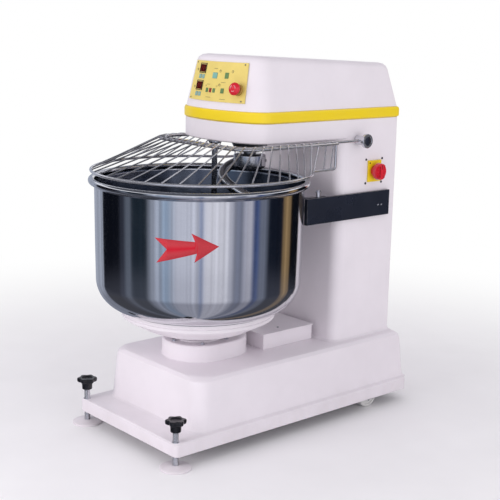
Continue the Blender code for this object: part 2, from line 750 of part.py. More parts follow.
def motor(name, place, low, high, radius, shaft_top, shaft_low, shaft_r):
    """An electric motor's body with its shaft, standing upright."""
    if shaft_top > high:
        flange_r = radius + 0.012
        profile = [(0, shaft_top), (shaft_r, shaft_top), (shaft_r, high + 0.012), (0.055, high + 0.012)]
        profile += [(0.055, high), (flange_r, high), (flange_r, high - 0.012), (radius, high - 0.012)]
        profile += [(radius, low + 0.05), (radius - 0.008, low + 0.05), (radius - 0.012, low), (0, low)]
    else:
        profile = [(0, high), (radius - 0.012, high), (radius - 0.008, high - 0.05), (radius, high - 0.05)]
        profile += [(radius, low + 0.012), (radius + 0.012, low + 0.012), (radius + 0.012, low), (0.055, low)]
        profile += [(0.055, low - 0.012), (shaft_r, low - 0.012), (shaft_r, shaft_low), (0, shaft_low)]
    return keep(turned(name, profile, place, steps=24, closed=False), "cast")


def bowl_drive():
    place = (0, BOWL_MOTOR_Y, 0)
    motor("bowl_motor", place, 0.185, 0.400, 0.075, 0.0, 0.120, 0.0120)
    wheel = pulley("bowl_motor_pulley", BOWL_MOTOR_PULLEY_R, 0.0122, BOWL_BELT_Z, place, 24)
    hang(pivot("bowl_motor_pivot", place), keep(wheel, "cast"))
    belt("bowl_belt", BOWL_Y, BOWL_PULLEY_R, BOWL_MOTOR_Y, BOWL_MOTOR_PULLEY_R, BOWL_BELT_Z)


# ---------------------------------------------------------------- spiral

def hook_points():
    """The hook's centre line: out from the flange, then down and round to a tip over the bowl's base."""
    count = 32
    top, bottom = 1.044, BOWL_BASE_Z + 0.040
    points = [(0, SPIRAL_Y, top)]
    for i in range(1, count + 1):
        t = i / count
        reach = min(1.0, t / 0.22)
        radius = SPIRAL_R * math.sin(reach * math.pi / 2)
        if t > 0.85:
            radius *= 1 - 0.55 * ((t - 0.85) / 0.15) ** 2
        drop = max(0.0, t - 0.06) / 0.94
        angle = math.radians(160 + 470 * t)
        z = top + (bottom - top) * drop ** 1.15
        points.append((radius * math.cos(angle), SPIRAL_Y + radius * math.sin(angle), z))
    return points


def spiral():
    """The hook, its shaft and its pulley, which turn together."""
    flange_profile = [(0, 1.080), (0.050, 1.080), (0.064, 1.074), (0.064, 1.030), (0.056, 1.020), (0, 1.020)]
    hook = baked(turned("spiral_hook", flange_profile, (0, SPIRAL_Y, 0), closed=False))
    hook.name = "spiral_hook"
    join(hook, helper(rod("hook_bar", hook_points(), HOOK_R, sides=2)))
    keep(hook, "stainless")
    top = SPIRAL_BELT_Z + 0.022
    shaft_profile = [
        (0, top), (0.018, top), (0.018, SPIRAL_BELT_Z - 0.014), (SPIRAL_SHAFT_R, SPIRAL_BELT_Z - 0.014),
        (SPIRAL_SHAFT_R, 1.0803), (0, 1.0803),
    ]
    shaft = keep(turned("spiral_shaft", shaft_profile, (0, SPIRAL_Y, 0), closed=False), "steel")
    place = (0, SPIRAL_Y, 0)
    wheel = keep(pulley("spiral_pulley", SPIRAL_PULLEY_R, 0.0183, SPIRAL_BELT_Z, place, 32), "cast")
    hang(pivot("spiral_pivot", place), hook, shaft, wheel)


def spiral_drive():
    bearing_profile = [
        (0.0258, 1.205), (0.0555, 1.205), (0.0555, HEAD_Z0 - GAP), (0.078, HEAD_Z0 - GAP), (0.078, 1.128),
        (0.062, 1.098), (0.0258, 1.098),
    ]
    keep(turned("spiral_bearing_housing", bearing_profile, (0, SPIRAL_Y, 0), steps=24), "steel")
    place = (0, SPIRAL_MOTOR_Y, 0)
    motor("spiral_motor", place, 0.700, 1.090, 0.080, SPIRAL_BELT_Z + 0.020, 0.0, 0.0140)
    wheel = pulley("spiral_motor_pulley", SPIRAL_MOTOR_PULLEY_R, 0.0142, SPIRAL_BELT_Z, place, 24)
    hang(pivot("spiral_motor_pivot", place), keep(wheel, "cast"))
    belt("spiral_belt", SPIRAL_Y, SPIRAL_PULLEY_R, SPIRAL_MOTOR_Y, SPIRAL_MOTOR_PULLEY_R, SPIRAL_BELT_Z)


def breaker_bar():
    """The fixed bar that divides the dough, hanging from the head's underside."""
    top = HEAD_Z0 - GAP
    profile = [(0, top), (0.024, top), (0.024, top - 0.010), (0.011, top - 0.016)]
    profile += [(0.011, 0.568), (0.006, 0.560), (0, 0.560)]
    return keep(turned("breaker_bar", profile, (0, BREAKER_Y, 0), steps=20, closed=False), "stainless")


# ---------------------------------------------------------------- bowl guard

def lower_path():
    """The guard's lower rod: up at the rear, along each side and round the front of the bowl's rim."""
    reach = math.degrees(math.acos(GUARD_SIDE_X / GUARD_RING_R))
    ring = arc(0, GUARD_RING_Y, GUARD_RING_R, reach, -180 - reach, 36)
    back = GUARD_BACK_Y - 0.008
    low = GUARD_RING_Z
    top = (GUARD_SIDE_X, GUARD_BACK_Y, GUARD_PIVOT_Z)
    right = [top, (GUARD_SIDE_X, GUARD_BACK_Y, low + 0.008), (GUARD_SIDE_X, back, low)]
    left = [(-x, y, z) for x, y, z in right[::-1]]
    return right + [(x, y, low) for x, y in ring] + left


def upper_path(out, rear):
    """A rod round the front of the head, this far outside the inner one, from one rear end to the other."""
    side_x = GUARD_SIDE_X + out
    slope = math.atan(2 * GUARD_BOW * GUARD_FRONT_REACH)
    corner_r = (side_x - GUARD_FRONT_REACH) / (1 - math.sin(slope))
    half = []
    for i in range(6):
        x = GUARD_FRONT_REACH * i / 5
        half.append((x, GUARD_FRONT_Y - out + GUARD_BOW * x * x))
    corner_x = GUARD_FRONT_REACH - corner_r * math.sin(slope)
    corner_y = half[-1][1] + corner_r * math.cos(slope)
    half += arc(corner_x, corner_y, corner_r, math.degrees(slope) - 90, 0, 5)[1:]
    half.append((side_x, rear))
    flat = [(-x, y) for x, y in half[:0:-1]] + half
    return [(x, y, GUARD_PIVOT_Z) for x, y in flat]


def along(points, fraction):
    """The point at a fraction of the length of a polyline."""
    lengths = [(Vector(b) - Vector(a)).length for a, b in zip(points, points[1:])]
    left = fraction * sum(lengths)
    for (a, b), length in zip(zip(points, points[1:]), lengths):
        if left <= length:
            return Vector(a).lerp(Vector(b), left / length)
        left -= length
    return Vector(points[-1])


def wire_foot(t):
    """The fraction of the lower rod where the wire at fraction t of the upper one ends."""
    half = min(t, 1 - t)
    for (a, foot_a), (b, foot_b) in zip(GUARD_WIRE_FEET, GUARD_WIRE_FEET[1:]):
        if half <= b:
            foot = foot_a + (foot_b - foot_a) * (half - a) / (b - a)
            return foot if t <= 0.5 else 1 - foot
    return 0.5


def guard():
    """The wire guard over the bowl with its two pivot sleeves, welded together."""
    lower = lower_path()
    inner = upper_path(0, GUARD_PIVOT_Y)
    outer = upper_path(0.016, GUARD_BACK_Y - 0.004)
    outer = [(x, y, z - 0.004) for x, y, z in outer]
    closing = [(GUARD_SIDE_X - 0.001, GUARD_BACK_Y - 0.004, GUARD_PIVOT_Z - 0.002)]
    outer = [(-x, y, z) for x, y, z in closing] + outer + closing
    wires = []
    bottom = lower[2:-2]
    top_outer = outer[1:-1]
    top_inner = upper_path(0, GUARD_BACK_Y - 0.004)
    for i in range(GUARD_WIRES):
        t = (i + 0.6) / (GUARD_WIRES + 0.2)
        foot = along(bottom, 1 - wire_foot(t))
        knee = along(top_outer, t) + Vector((0, 0, GUARD_ROD_R + GUARD_WIRE_R + 0.0005))
        tip = along(top_inner, t) + Vector((0, 0, 0.0045))
        wires.append(rod(f"wire_{i}", [foot, knee, tip], GUARD_WIRE_R, sides=0))
    frame = rod("guard_grille", inner, GUARD_ROD_R, sides=1)
    frame.name = "guard_grille"
    join(
        frame,
        helper(rod("guard_lower", lower, GUARD_ROD_R, sides=1)),
        helper(rod("guard_outer", outer, GUARD_ROD_R, sides=1)),
        helper(merged("guard_wires", wires)),
        solver="MANIFOLD",
    )
    for side, along_x in ((1, "X"), (-1, "-X")):
        place = (0, GUARD_PIVOT_Y, GUARD_PIVOT_Z)
        name = "right" if side > 0 else "left"
        end = GUARD_HUB_X1
        r, sleeve = GUARD_HUB_R, GUARD_SLEEVE_R
        profile = [(0, end), (r - 0.002, end), (r, end - 0.002), (r, end - 0.013), (sleeve, end - 0.018)]
        profile += [(sleeve, GUARD_HUB_X0), (0, GUARD_HUB_X0)]
        hub = helper(baked(turned("guard_hub_" + name, profile, place, along_x, 20, closed=False)))
        bore_r = GUARD_SHAFT_R + 0.0003
        bore = helper(cylinder("guard_bore_" + name, bore_r, 0.20, 0.2885, place, along_x, 20))
        join(frame, hub, solver="MANIFOLD")
        cut(frame, bore, solver="MANIFOLD")
    keep(frame, "chrome")
    hang(pivot("guard_pivot", (0, GUARD_PIVOT_Y, GUARD_PIVOT_Z)), frame)
    shaft = cylinder("guard_shaft", GUARD_SHAFT_R, -0.288, 0.288, (0, GUARD_PIVOT_Y, GUARD_PIVOT_Z), "X", 20)
    keep(shaft, "steel")


# ---------------------------------------------------------------- side arms and guide rollers

def side_arm(side):
    """A folded channel along the column's side, whose front end stands beside the bowl."""
    name = "right" if side > 0 else "left"
    inner_x = ARM_X - ARM_DEPTH
    sheet = ARM_SHEET
    bends = [
        ((inner_x, ARM_Y0, ARM_Z0), (ARM_X, ARM_Y1, ARM_Z1)),
        ((inner_x - 0.01, ARM_Y0 + sheet, ARM_Z0 + sheet), (ARM_X - sheet, ARM_Y1 - sheet, ARM_Z1 - sheet)),
        ((0.2385, ARM_Y0, ARM_Z0 + 0.001), (ARM_X - 0.001, ARM_Y0 + ARM_SHEET, ARM_Z1 - 0.001)),
        ((0.223, BOWL_Y + 0.37, ARM_Z1 - ARM_SHEET), (ARM_X - 0.001, BOWL_Y + 0.45, ARM_Z1)),
    ]
    flipped = [mirrored_box(low, high, side) for low, high in bends]
    arm = box("side_arm_" + name, *flipped[0])
    cut(arm, helper(box("arm_hollow_" + name, *flipped[1])))
    join(arm, helper(box("arm_lip_" + name, *flipped[2])), helper(box("arm_tab_" + name, *flipped[3])))
    stud = (side * STUD_X, STUD_Y, 0)
    cut(arm, helper(cylinder("arm_hole_" + name, 0.0064, 0.90, 0.94, stud, steps=20)))
    return keep(arm, "arm_black")


def mirrored_box(low, high, side):
    xs = sorted((side * low[0], side * high[0]))
    return (xs[0], low[1], low[2]), (xs[1], high[1], high[2])


def guide_roller(side):
    """A roller that steadies the bowl's wall, on a short lever under the side arm's tab."""
    name = "right" if side > 0 else "left"
    top = ARM_Z1 - ARM_SHEET - GAP
    low, high = mirrored_box((0.190, ROLLER_Y - 0.014, top - 0.008), (0.247, BOWL_Y + 0.419, top), side)
    lever = box("roller_lever_" + name, low, high)
    pin = [(0, top - 0.002), (0.008, top - 0.002), (0.008, ROLLER_Z0 - 0.004), (0, ROLLER_Z0 - 0.004)]
    stud = [(0, 0.946), (0.009, 0.944), (0.009, ARM_Z1 + GAP)]
    stud += [(0.006, ARM_Z1 + GAP), (0.006, top - 0.004), (0, top - 0.004)]
    join(
        lever,
        helper(baked(turned("roller_pin_" + name, pin, (side * ROLLER_X, ROLLER_Y, 0), closed=False))),
        helper(baked(turned("roller_stud_" + name, stud, (side * STUD_X, STUD_Y, 0), closed=False))),
    )
    keep(lever, "chrome")
    profile = [
        (0.0082, ROLLER_Z1), (ROLLER_R - 0.003, ROLLER_Z1), (ROLLER_R, ROLLER_Z1 - 0.003),
        (ROLLER_R, ROLLER_Z0 + 0.003), (ROLLER_R - 0.003, ROLLER_Z0), (0.0082, ROLLER_Z0),
    ]
    place = (side * ROLLER_X, ROLLER_Y, 0)
    roller = keep(turned("guide_roller_" + name, profile, place, steps=24), "roller_white")
    hang(pivot("roller_pivot_" + name, place), roller)


# ---------------------------------------------------------------- feet, wheels, switch, gland

def foot(side):
    """A levelling foot: a pad, a threaded rod through the plinth's corner and the knob that turns it."""
    name = "right" if side > 0 else "left"
    place = (side * FOOT_X, FOOT_Y, 0)
    r = FOOT_SCREW_R
    pad_profile = [
        (0, 0.0050), (r + 0.0004, 0.0050), (r + 0.0004, 0.0145), (r + 0.006, 0.0140),
        (PAD_R - 0.004, 0.0080), (PAD_R, 0.0055), (PAD_R, 0.001), (PAD_R - 0.001, 0), (0, 0),
    ]
    pad = keep(turned("foot_pad_" + name, pad_profile, place, steps=28, closed=False), "body_white")
    top, bottom = FOOT_SCREW_TOP, 0.0053
    screw_profile = [(0, top), (r - 0.001, top), (r, top - 0.001)]
    screw_profile += [(r, bottom + 0.0012), (r - 0.001, bottom), (0, bottom)]
    screw = keep(turned("foot_screw_" + name, screw_profile, place, steps=16, closed=False), "chrome")
    rings = []
    for radius, lobe, z in (
        (0.0195, 0, FOOT_KNOB_Z), (0.0210, 0, FOOT_KNOB_Z + 0.028), (0.0330, 0.0022, FOOT_KNOB_Z + 0.030),
        (0.0350, 0.0035, FOOT_KNOB_Z + 0.033), (0.0360, 0.0038, FOOT_KNOB_Z + 0.043),
        (0.0335, 0.0030, FOOT_KNOB_Z + 0.047),
    ):
        turns = [2 * math.pi * i / 24 for i in range(24)]
        ring = []
        for a in turns:
            reach = radius + lobe * math.cos(6 * a)
            ring.append((place[0] + reach * math.cos(a), place[1] + reach * math.sin(a), z))
        rings.append(ring)
    knob = loft("foot_knob_" + name, rings)
    bore = cylinder("knob_bore_" + name, r + 0.0003, 0.12, FOOT_SCREW_TOP + 0.0003, place, steps=24)
    cut(knob, helper(bore))
    keep(knob, "black_plastic")
    hang(pivot("foot_pivot_" + name, place), pad, screw, knob)


def rear_wheels():
    """Two fixed rear wheels on a cross-member with lugs and an axle."""
    y = WHEEL_Y
    member = box("rear_axle", (-0.308, y - 0.035, 0.0862), (0.308, y + 0.035, 0.0932))
    lugs = []
    for side in (-1, 1):
        for x in (WHEEL_X0 - 0.012, WHEEL_X1 + 0.004):
            low, high = mirrored_box((x, y - 0.022, 0.036), (x + 0.006, y + 0.022, 0.09), side)
            lugs.append(box("lug", low, high))
    join(member, helper(merged("axle_lugs", lugs)))
    axle = baked(cylinder("axle_rod", AXLE_R, -0.2965, 0.2965, (0, y, WHEEL_R), "X", 16))
    join(member, helper(axle))
    low, high = (WHEEL_X0 - 0.004, y - 0.040, 0.08), (WHEEL_X1 + 0.003, y + 0.040, 0.10)
    arch = [mirrored_box(low, high, side) for side in (-1, 1)]
    cut(member, helper(boxes("wheel_arches", arch)))
    keep(member, "steel")
    for side in (-1, 1):
        name = "right" if side > 0 else "left"
        r = WHEEL_R
        bore = AXLE_R + 0.0003
        profile = [
            (bore, WHEEL_X1), (r - 0.010, WHEEL_X1), (r, WHEEL_X1 - 0.004),
            (r, WHEEL_X0 + 0.004), (r - 0.010, WHEEL_X0), (bore, WHEEL_X0),
        ]
        place = (0, y, WHEEL_R)
        wheel = turned("rear_wheel_" + name, profile, place, "X" if side > 0 else "-X", 24)
        keep(wheel, "roller_white")
        hang(pivot("wheel_pivot_" + name, (side * (WHEEL_X0 + WHEEL_X1) / 2, y, WHEEL_R)), wheel)


def main_switch():
    """The rotary main switch: a plate on the column's side and its turning knob."""
    x0 = HEAD_HALF + GAP
    half_w, half_h = SWITCH_PLATE_W / 2, SWITCH_PLATE_H / 2
    low = (x0, SWITCH_Y - half_w, SWITCH_Z - half_h)
    high = (x0 + SWITCH_PLATE_T, SWITCH_Y + half_w, SWITCH_Z + half_h)
    plate = box("main_switch_plate", low, high)
    cut(plate, helper(cylinder("switch_plate_hole", 0.0085, 0.20, 0.30, (0, SWITCH_Y, SWITCH_Z), "X", 24)))
    keep(plate, "band_yellow")
    x1 = x0 + SWITCH_PLATE_T + 0.0005
    r = SWITCH_KNOB_R
    end = x1 + SWITCH_KNOB_DEPTH
    head = x1 + SWITCH_NECK_DEPTH
    stem_end = x1 - 0.030
    profile = [
        (0, end), (r - 0.006, end), (r - 0.002, end - 0.004), (r, head + 0.003), (r - 0.002, head),
        (SWITCH_NECK_R, head - 0.002), (SWITCH_NECK_R, x1), (0.008, x1), (0.008, stem_end), (0, stem_end),
    ]
    knob = baked(turned("main_switch_knob", profile, (0, SWITCH_Y, SWITCH_Z), "X", 24, closed=False))
    knob.name = "main_switch_knob"
    grooves = []
    for side in (-1, 1):
        edges = sorted((side * 0.009, side * 0.045))
        low = (end - 0.007, SWITCH_Y + edges[0], SWITCH_Z - 0.022)
        high = (end + 0.010, SWITCH_Y + edges[1], SWITCH_Z + 0.022)
        grooves.append((low, high))
    cut(knob, helper(boxes("knob_grooves", grooves)))
    half = SWITCH_GRIP_HALF
    low = (end - 0.012, SWITCH_Y - 0.0095, SWITCH_Z - half)
    high = (end + 0.0005, SWITCH_Y + 0.0095, SWITCH_Z + half)
    join(knob, helper(box("knob_grip", low, high)))
    keep(knob, "red")
    hang(pivot("main_switch_pivot", (x0, SWITCH_Y, SWITCH_Z)), knob)


def cable_gland():
    """The gland in the column's rear, where the supply cable goes in."""
    y0 = 0.020 + GAP + 0.010
    profile = [
        (0.0055, y0 + 0.030), (0.010, y0 + 0.030), (0.013, y0 + 0.026),
        (0.013, y0 + 0.014), (0.016, y0 + 0.012),
        (0.016, y0), (0.0100, y0), (0.0100, y0 - 0.016), (0.0055, y0 - 0.016),
    ]
    place = (-0.12, COLUMN_REAR - 0.03, 0.365)
    return keep(turned("cable_gland", profile, place, "Y", 16), "black_plastic")


base_shell()
column_shell()
rear_panel()
trim_band()
hood()
control_panel()
display("display_upper", -0.086, 1.410)
display("display_lower", -0.092, 1.345)
for key_values in KEYS:
    key(*key_values)
emergency_stop()
electrical_box()
bearing_housing()
base_top_plate()
bowl()
bowl_drive()
spiral()
spiral_drive()
breaker_bar()
guard()
for which in (1, -1):
    side_arm(which)
    guide_roller(which)
    foot(which)
rear_wheels()
main_switch()
cable_gland()
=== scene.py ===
"""Looks of a spiral dough mixer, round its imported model. Metres, +Z up, the front faces -Y."""
import math

import bmesh
import bpy
from mathutils import Matrix, Vector
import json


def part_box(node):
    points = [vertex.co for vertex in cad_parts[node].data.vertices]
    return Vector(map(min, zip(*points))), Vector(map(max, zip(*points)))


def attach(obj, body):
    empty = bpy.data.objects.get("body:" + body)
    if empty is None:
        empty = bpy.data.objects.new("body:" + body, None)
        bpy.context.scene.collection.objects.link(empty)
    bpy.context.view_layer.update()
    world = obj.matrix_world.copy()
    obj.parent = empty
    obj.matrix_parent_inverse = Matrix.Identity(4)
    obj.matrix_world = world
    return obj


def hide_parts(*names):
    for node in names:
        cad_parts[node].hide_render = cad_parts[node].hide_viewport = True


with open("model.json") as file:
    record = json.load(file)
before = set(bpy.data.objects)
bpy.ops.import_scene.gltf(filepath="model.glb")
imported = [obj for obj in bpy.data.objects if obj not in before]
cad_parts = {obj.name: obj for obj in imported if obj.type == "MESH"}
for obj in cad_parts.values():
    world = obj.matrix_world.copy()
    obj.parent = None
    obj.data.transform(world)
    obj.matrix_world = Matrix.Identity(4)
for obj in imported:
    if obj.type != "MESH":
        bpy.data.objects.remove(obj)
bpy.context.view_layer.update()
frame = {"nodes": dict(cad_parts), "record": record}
NODES = frame["nodes"]
RECORD = frame["record"]
SLOTS = {part["node"]: part["material_slot"] for part in RECORD["subparts"]}
BODY_OF = {node: body for body, nodes in RECORD["behaviour"]["bodies"].items() for node in nodes}
SIDES = (("right", 1), ("left", -1))

# Driving dimensions, the same as the CAD model's
BOWL_Y = -0.2385
BOWL_R = 0.402
BOWL_BASE_Z = 0.495
BOWL_CORNER_R = 0.12
BOWL_RIM_Z = 0.992
RIM_R = 0.4125
BEAD_R = 0.0125
BOWL_TAPER = 0.004
SHEET = 0.003
PAN_BASE_Z = 0.4005
PEDESTAL_HALF = 0.142
PEDESTAL_REAR = BOWL_Y + 0.207
PEDESTAL_TOP = 0.372
HUMP_TOP = 0.3055
HEAD_HALF = 0.240
HEAD_FRONT = BOWL_Y + 0.040
HEAD_BOW = 1.0
HEAD_Z0 = 1.142
BAND_Z1 = 1.261
COLUMN_REAR = BOWL_Y + 0.850
HOOD_Z0 = BAND_Z1 + 0.0003
HOOD_TOP = 1.468
HOOD_LEAN_FRONT = 0.047
SPIRAL_Y = BOWL_Y + 0.250
SPIRAL_R = 0.115
HOOK_R = 0.020
BREAKER_Y = BOWL_Y + 0.070
GUARD_PIVOT_Y = BOWL_Y + 0.610
GUARD_PIVOT_Z = 1.135
GUARD_HUB_R = 0.0285
GUARD_SLEEVE_R = 0.0195
GUARD_HUB_X0 = 0.243
GUARD_HUB_X1 = 0.300
GUARD_SIDE_X = 0.265
GUARD_FRONT_Y = BOWL_Y - 0.015
GUARD_FRONT_REACH = 0.190
GUARD_BOW = 0.10
GUARD_RING_R = 0.424
GUARD_RING_Y = BOWL_Y + 0.012
GUARD_RING_Z = 1.030
GUARD_BACK_Y = BOWL_Y + 0.465
GUARD_ROD_R = 0.0055
GUARD_WIRE_R = 0.0028
GUARD_WIRES = 36
GUARD_WIRE_FEET = ((0, 0), (0.041, 0.019), (0.107, 0.121), (0.24, 0.234), (0.5, 0.5))
ARM_X = 0.255
STUD_X = 0.236
STUD_Y = BOWL_Y + 0.405
ROLLER_X = 0.205
ROLLER_Y = BOWL_Y + 0.387
ROLLER_R = 0.034
ROLLER_Z0 = 0.855
ROLLER_Z1 = 0.887
FOOT_X = 0.292
FOOT_Y = BOWL_Y - 0.330
PAD_R = 0.059
FOOT_SCREW_R = 0.0115
FOOT_SCREW_TOP = 0.176
FOOT_KNOB_Z = 0.141
PLINTH_TOP = 0.101
WHEEL_R = 0.050
WHEEL_X0 = 0.250
WHEEL_X1 = 0.284
WHEEL_Y = BOWL_Y + 0.700
HUB_SCREW_R = 0.026
PANEL_OUT = 0.0042
ESTOP_X = 0.130
ESTOP_Z = 1.338
SWITCH_Y = BOWL_Y + 0.7155
SWITCH_Z = 1.003
SWITCH_FACE = 0.2463
SWITCH_KNOB_DEPTH = 0.0410


# ---------------------------------------------------------------- material graphs

class Graph:
    """A node tree, with one short call for each kind of node."""

    def __init__(self, tree):
        self.tree = tree

    def node(self, kind, **settings):
        made = self.tree.nodes.new(kind)
        for key, value in settings.items():
            setattr(made, key, value)
        return made

    def feed(self, socket, value):
        if isinstance(value, bpy.types.NodeSocket):
            self.tree.links.new(value, socket)
        else:
            socket.default_value = value

    def spread(self, value, low, high, to_low=0.0, to_high=1.0, smooth=False):
        made = self.node("ShaderNodeMapRange")
        if smooth:
            made.interpolation_type = "SMOOTHSTEP"
        for socket, number in zip(made.inputs, (value, low, high, to_low, to_high)):
            self.feed(socket, number)
        return made.outputs["Result"]

    def math(self, operation, *values, kind="ShaderNodeMath"):
        made = self.node(kind, operation=operation)
        for socket, value in zip(made.inputs, values):
            self.feed(socket, value)
        return made.outputs[0]

    def vector_math(self, operation, *values):
        return self.math(operation, *values, kind="ShaderNodeVectorMath")

    def mix(self, factor, first, second):
        made = self.node("ShaderNodeMix", data_type="RGBA")
        self.feed(made.inputs["Factor"], factor)
        for socket, value in zip((made.inputs[6], made.inputs[7]), (first, second)):
            self.feed(socket, (*value, 1.0) if isinstance(value, tuple) else value)
        return made.outputs[2]

    def axes(self, value):
        made = self.node("ShaderNodeSeparateXYZ")
        self.feed(made.inputs[0], value)
        return made.outputs


class Finish(Graph):
    """A material: its shader, and its patterns in the piece's own space."""

    def __init__(self, name):
        self.material = bpy.data.materials.new(name)
        self.material.use_nodes = True
        super().__init__(self.material.node_tree)
        self.shader = self.tree.nodes["Principled BSDF"]
        self.where = self.node("ShaderNodeTexCoord").outputs["Object"]

    def set(self, **settings):
        """Sets the shader's own sockets, such as Coat_Weight."""
        for key, value in settings.items():
            self.feed(self.shader.inputs[key.replace("_", " ")], value)

    def noise(self, scale, detail=3.0, stretch=(1, 1, 1), roughness=0.55):
        mapping = self.node("ShaderNodeMapping")
        self.feed(mapping.inputs["Vector"], self.where)
        mapping.inputs["Scale"].default_value = stretch
        made = self.node("ShaderNodeTexNoise")
        self.feed(made.inputs["Vector"], mapping.outputs[0])
        made.inputs["Scale"].default_value = scale
        made.inputs["Detail"].default_value = detail
        made.inputs["Roughness"].default_value = roughness
        return made.outputs["Fac"]

    def bump(self, value, depth):
        made = self.node("ShaderNodeBump")
        made.inputs["Distance"].default_value = depth
        self.feed(made.inputs["Height"], value)
        self.set(Normal=made.outputs[0])

    def edges(self, radius):
        """About 1 along the sharp edges and 0 elsewhere."""
        rounded = self.node("ShaderNodeBevel", samples=4)
        rounded.inputs["Radius"].default_value = radius
        plain = self.node("ShaderNodeNewGeometry")
        dot = self.node("ShaderNodeVectorMath", operation="DOT_PRODUCT")
        self.feed(dot.inputs[0], rounded.outputs[0])
        self.feed(dot.inputs[1], plain.outputs["Normal"])
        return self.spread(dot.outputs["Value"], 0.995, 0.86)


def shaded(colour, factor):
    """The colour made lighter or darker."""
    return tuple(min(1.0, c * factor) for c in colour)


def paint(name, colour, roughness, peel=0.00012, grime=0.0, edge_wear_and_highlight=None, coat=0.0, speck=0.03):
    """Sprayed or powder-coated paint: orange peel, faint scuffs, dust low down and worn edges; on the black
    enamel the light edges are partly wear, mostly a painted highlight.
    """
    g = Finish(name)
    blotch = g.noise(5.0, 5.0)
    tone = g.mix(g.spread(blotch, 0.3, 0.7), shaded(colour, 1 - speck), shaded(colour, 1 + speck))
    scuff = g.spread(g.noise(26.0, 6.0, (1, 1, 0.14), 0.7), 0.62, 0.72)
    tone = g.mix(g.math("MULTIPLY", scuff, 0.10), tone, shaded(colour, 0.72))
    if grime:
        low = g.spread(g.axes(g.where)["Z"], 0.16, 0.045, smooth=True)
        patch = g.math("MULTIPLY", low, g.spread(g.noise(14.0, 6.0), 0.35, 0.75))
        tone = g.mix(g.math("MULTIPLY", patch, grime), tone, (0.36, 0.31, 0.27))
    # Edge colour: wear, and on the black enamel a painted highlight
    if edge_wear_and_highlight:
        edge = g.math("MULTIPLY", g.edges(0.0025), g.spread(g.noise(60.0, 5.0), 0.45, 0.62))
        tone = g.mix(g.math("MULTIPLY", edge, 0.55), tone, edge_wear_and_highlight)
    rough = g.spread(g.noise(9.0, 4.0), 0.3, 0.7, roughness * 0.82, roughness * 1.22)
    g.set(Base_Color=tone, Roughness=g.math("ADD", rough, g.math("MULTIPLY", scuff, 0.12)))
    g.set(Coat_Weight=coat, Coat_Roughness=0.08)
    g.bump(g.noise(520.0, 2.0), peel)
    return g.material


POLISH_LINES = (1, 1, 26)


def metal(
    name, colour, roughness, stretch=(1, 1, 1), scale=60.0, depth=0.00002, stain=0.08, rust=None, bare=1.0
):
    """Metal with the lines of its polishing or turning, faint stains and fingermarks."""
    g = Finish(name)
    lines = g.noise(scale, 4.0, stretch, 0.65)
    cloud = g.noise(7.0, 5.0)
    tone = g.mix(g.spread(cloud, 0.35, 0.7), shaded(colour, 1 - stain), shaded(colour, 1 + stain * 0.5))
    tone = g.mix(g.spread(lines, 0.35, 0.7, 0.0, 0.22), tone, shaded(colour, 0.80))
    if rust:
        spots = g.spread(g.noise(38.0, 7.0, roughness=0.7), 0.62, 0.76)
        tone = g.mix(g.math("MULTIPLY", spots, 0.5), tone, rust)
    low, high = roughness * 0.75, roughness * 1.45
    smear = g.spread(cloud, 0.52, 0.75, 0.0, roughness * 0.5)
    rough = g.math("ADD", g.spread(lines, 0.3, 0.7, low, high), smear)
    g.set(Base_Color=tone, Metallic=bare, Roughness=rough)
    g.bump(lines, depth)
    return g.material


def moulded(name, colour, roughness, grain=0.00010, fade=0.16, coat=0.0):
    """Moulded plastic or rubber: a fine grain, a little fading and rubbed patches."""
    g = Finish(name)
    cloud = g.noise(16.0, 5.0)
    tone = g.mix(g.spread(cloud, 0.35, 0.7), shaded(colour, 1 - fade), shaded(colour, 1 + fade))
    edge = g.math("MULTIPLY", g.edges(0.0012), 0.35)
    tone = g.mix(edge, tone, tuple(c * 0.6 + 0.16 for c in colour))
    rub = g.spread(g.noise(24.0, 5.0), 0.35, 0.7, roughness * 0.78, roughness * 1.2)
    g.set(Base_Color=tone, Roughness=rub, Coat_Weight=coat, Coat_Roughness=0.06)
    g.bump(g.noise(420.0, 3.0), grain)
    return g.material


def lit(name, colour, glow, strength):
    """A dark red window or a lamp behind it."""
    material = moulded(name, colour, 0.12, 0.00002, 0.1, coat=0.6)
    shader = material.node_tree.nodes["Principled BSDF"]
    shader.inputs["Emission Color"].default_value = (*glow, 1.0)
    shader.inputs["Emission Strength"].default_value = strength
    return material


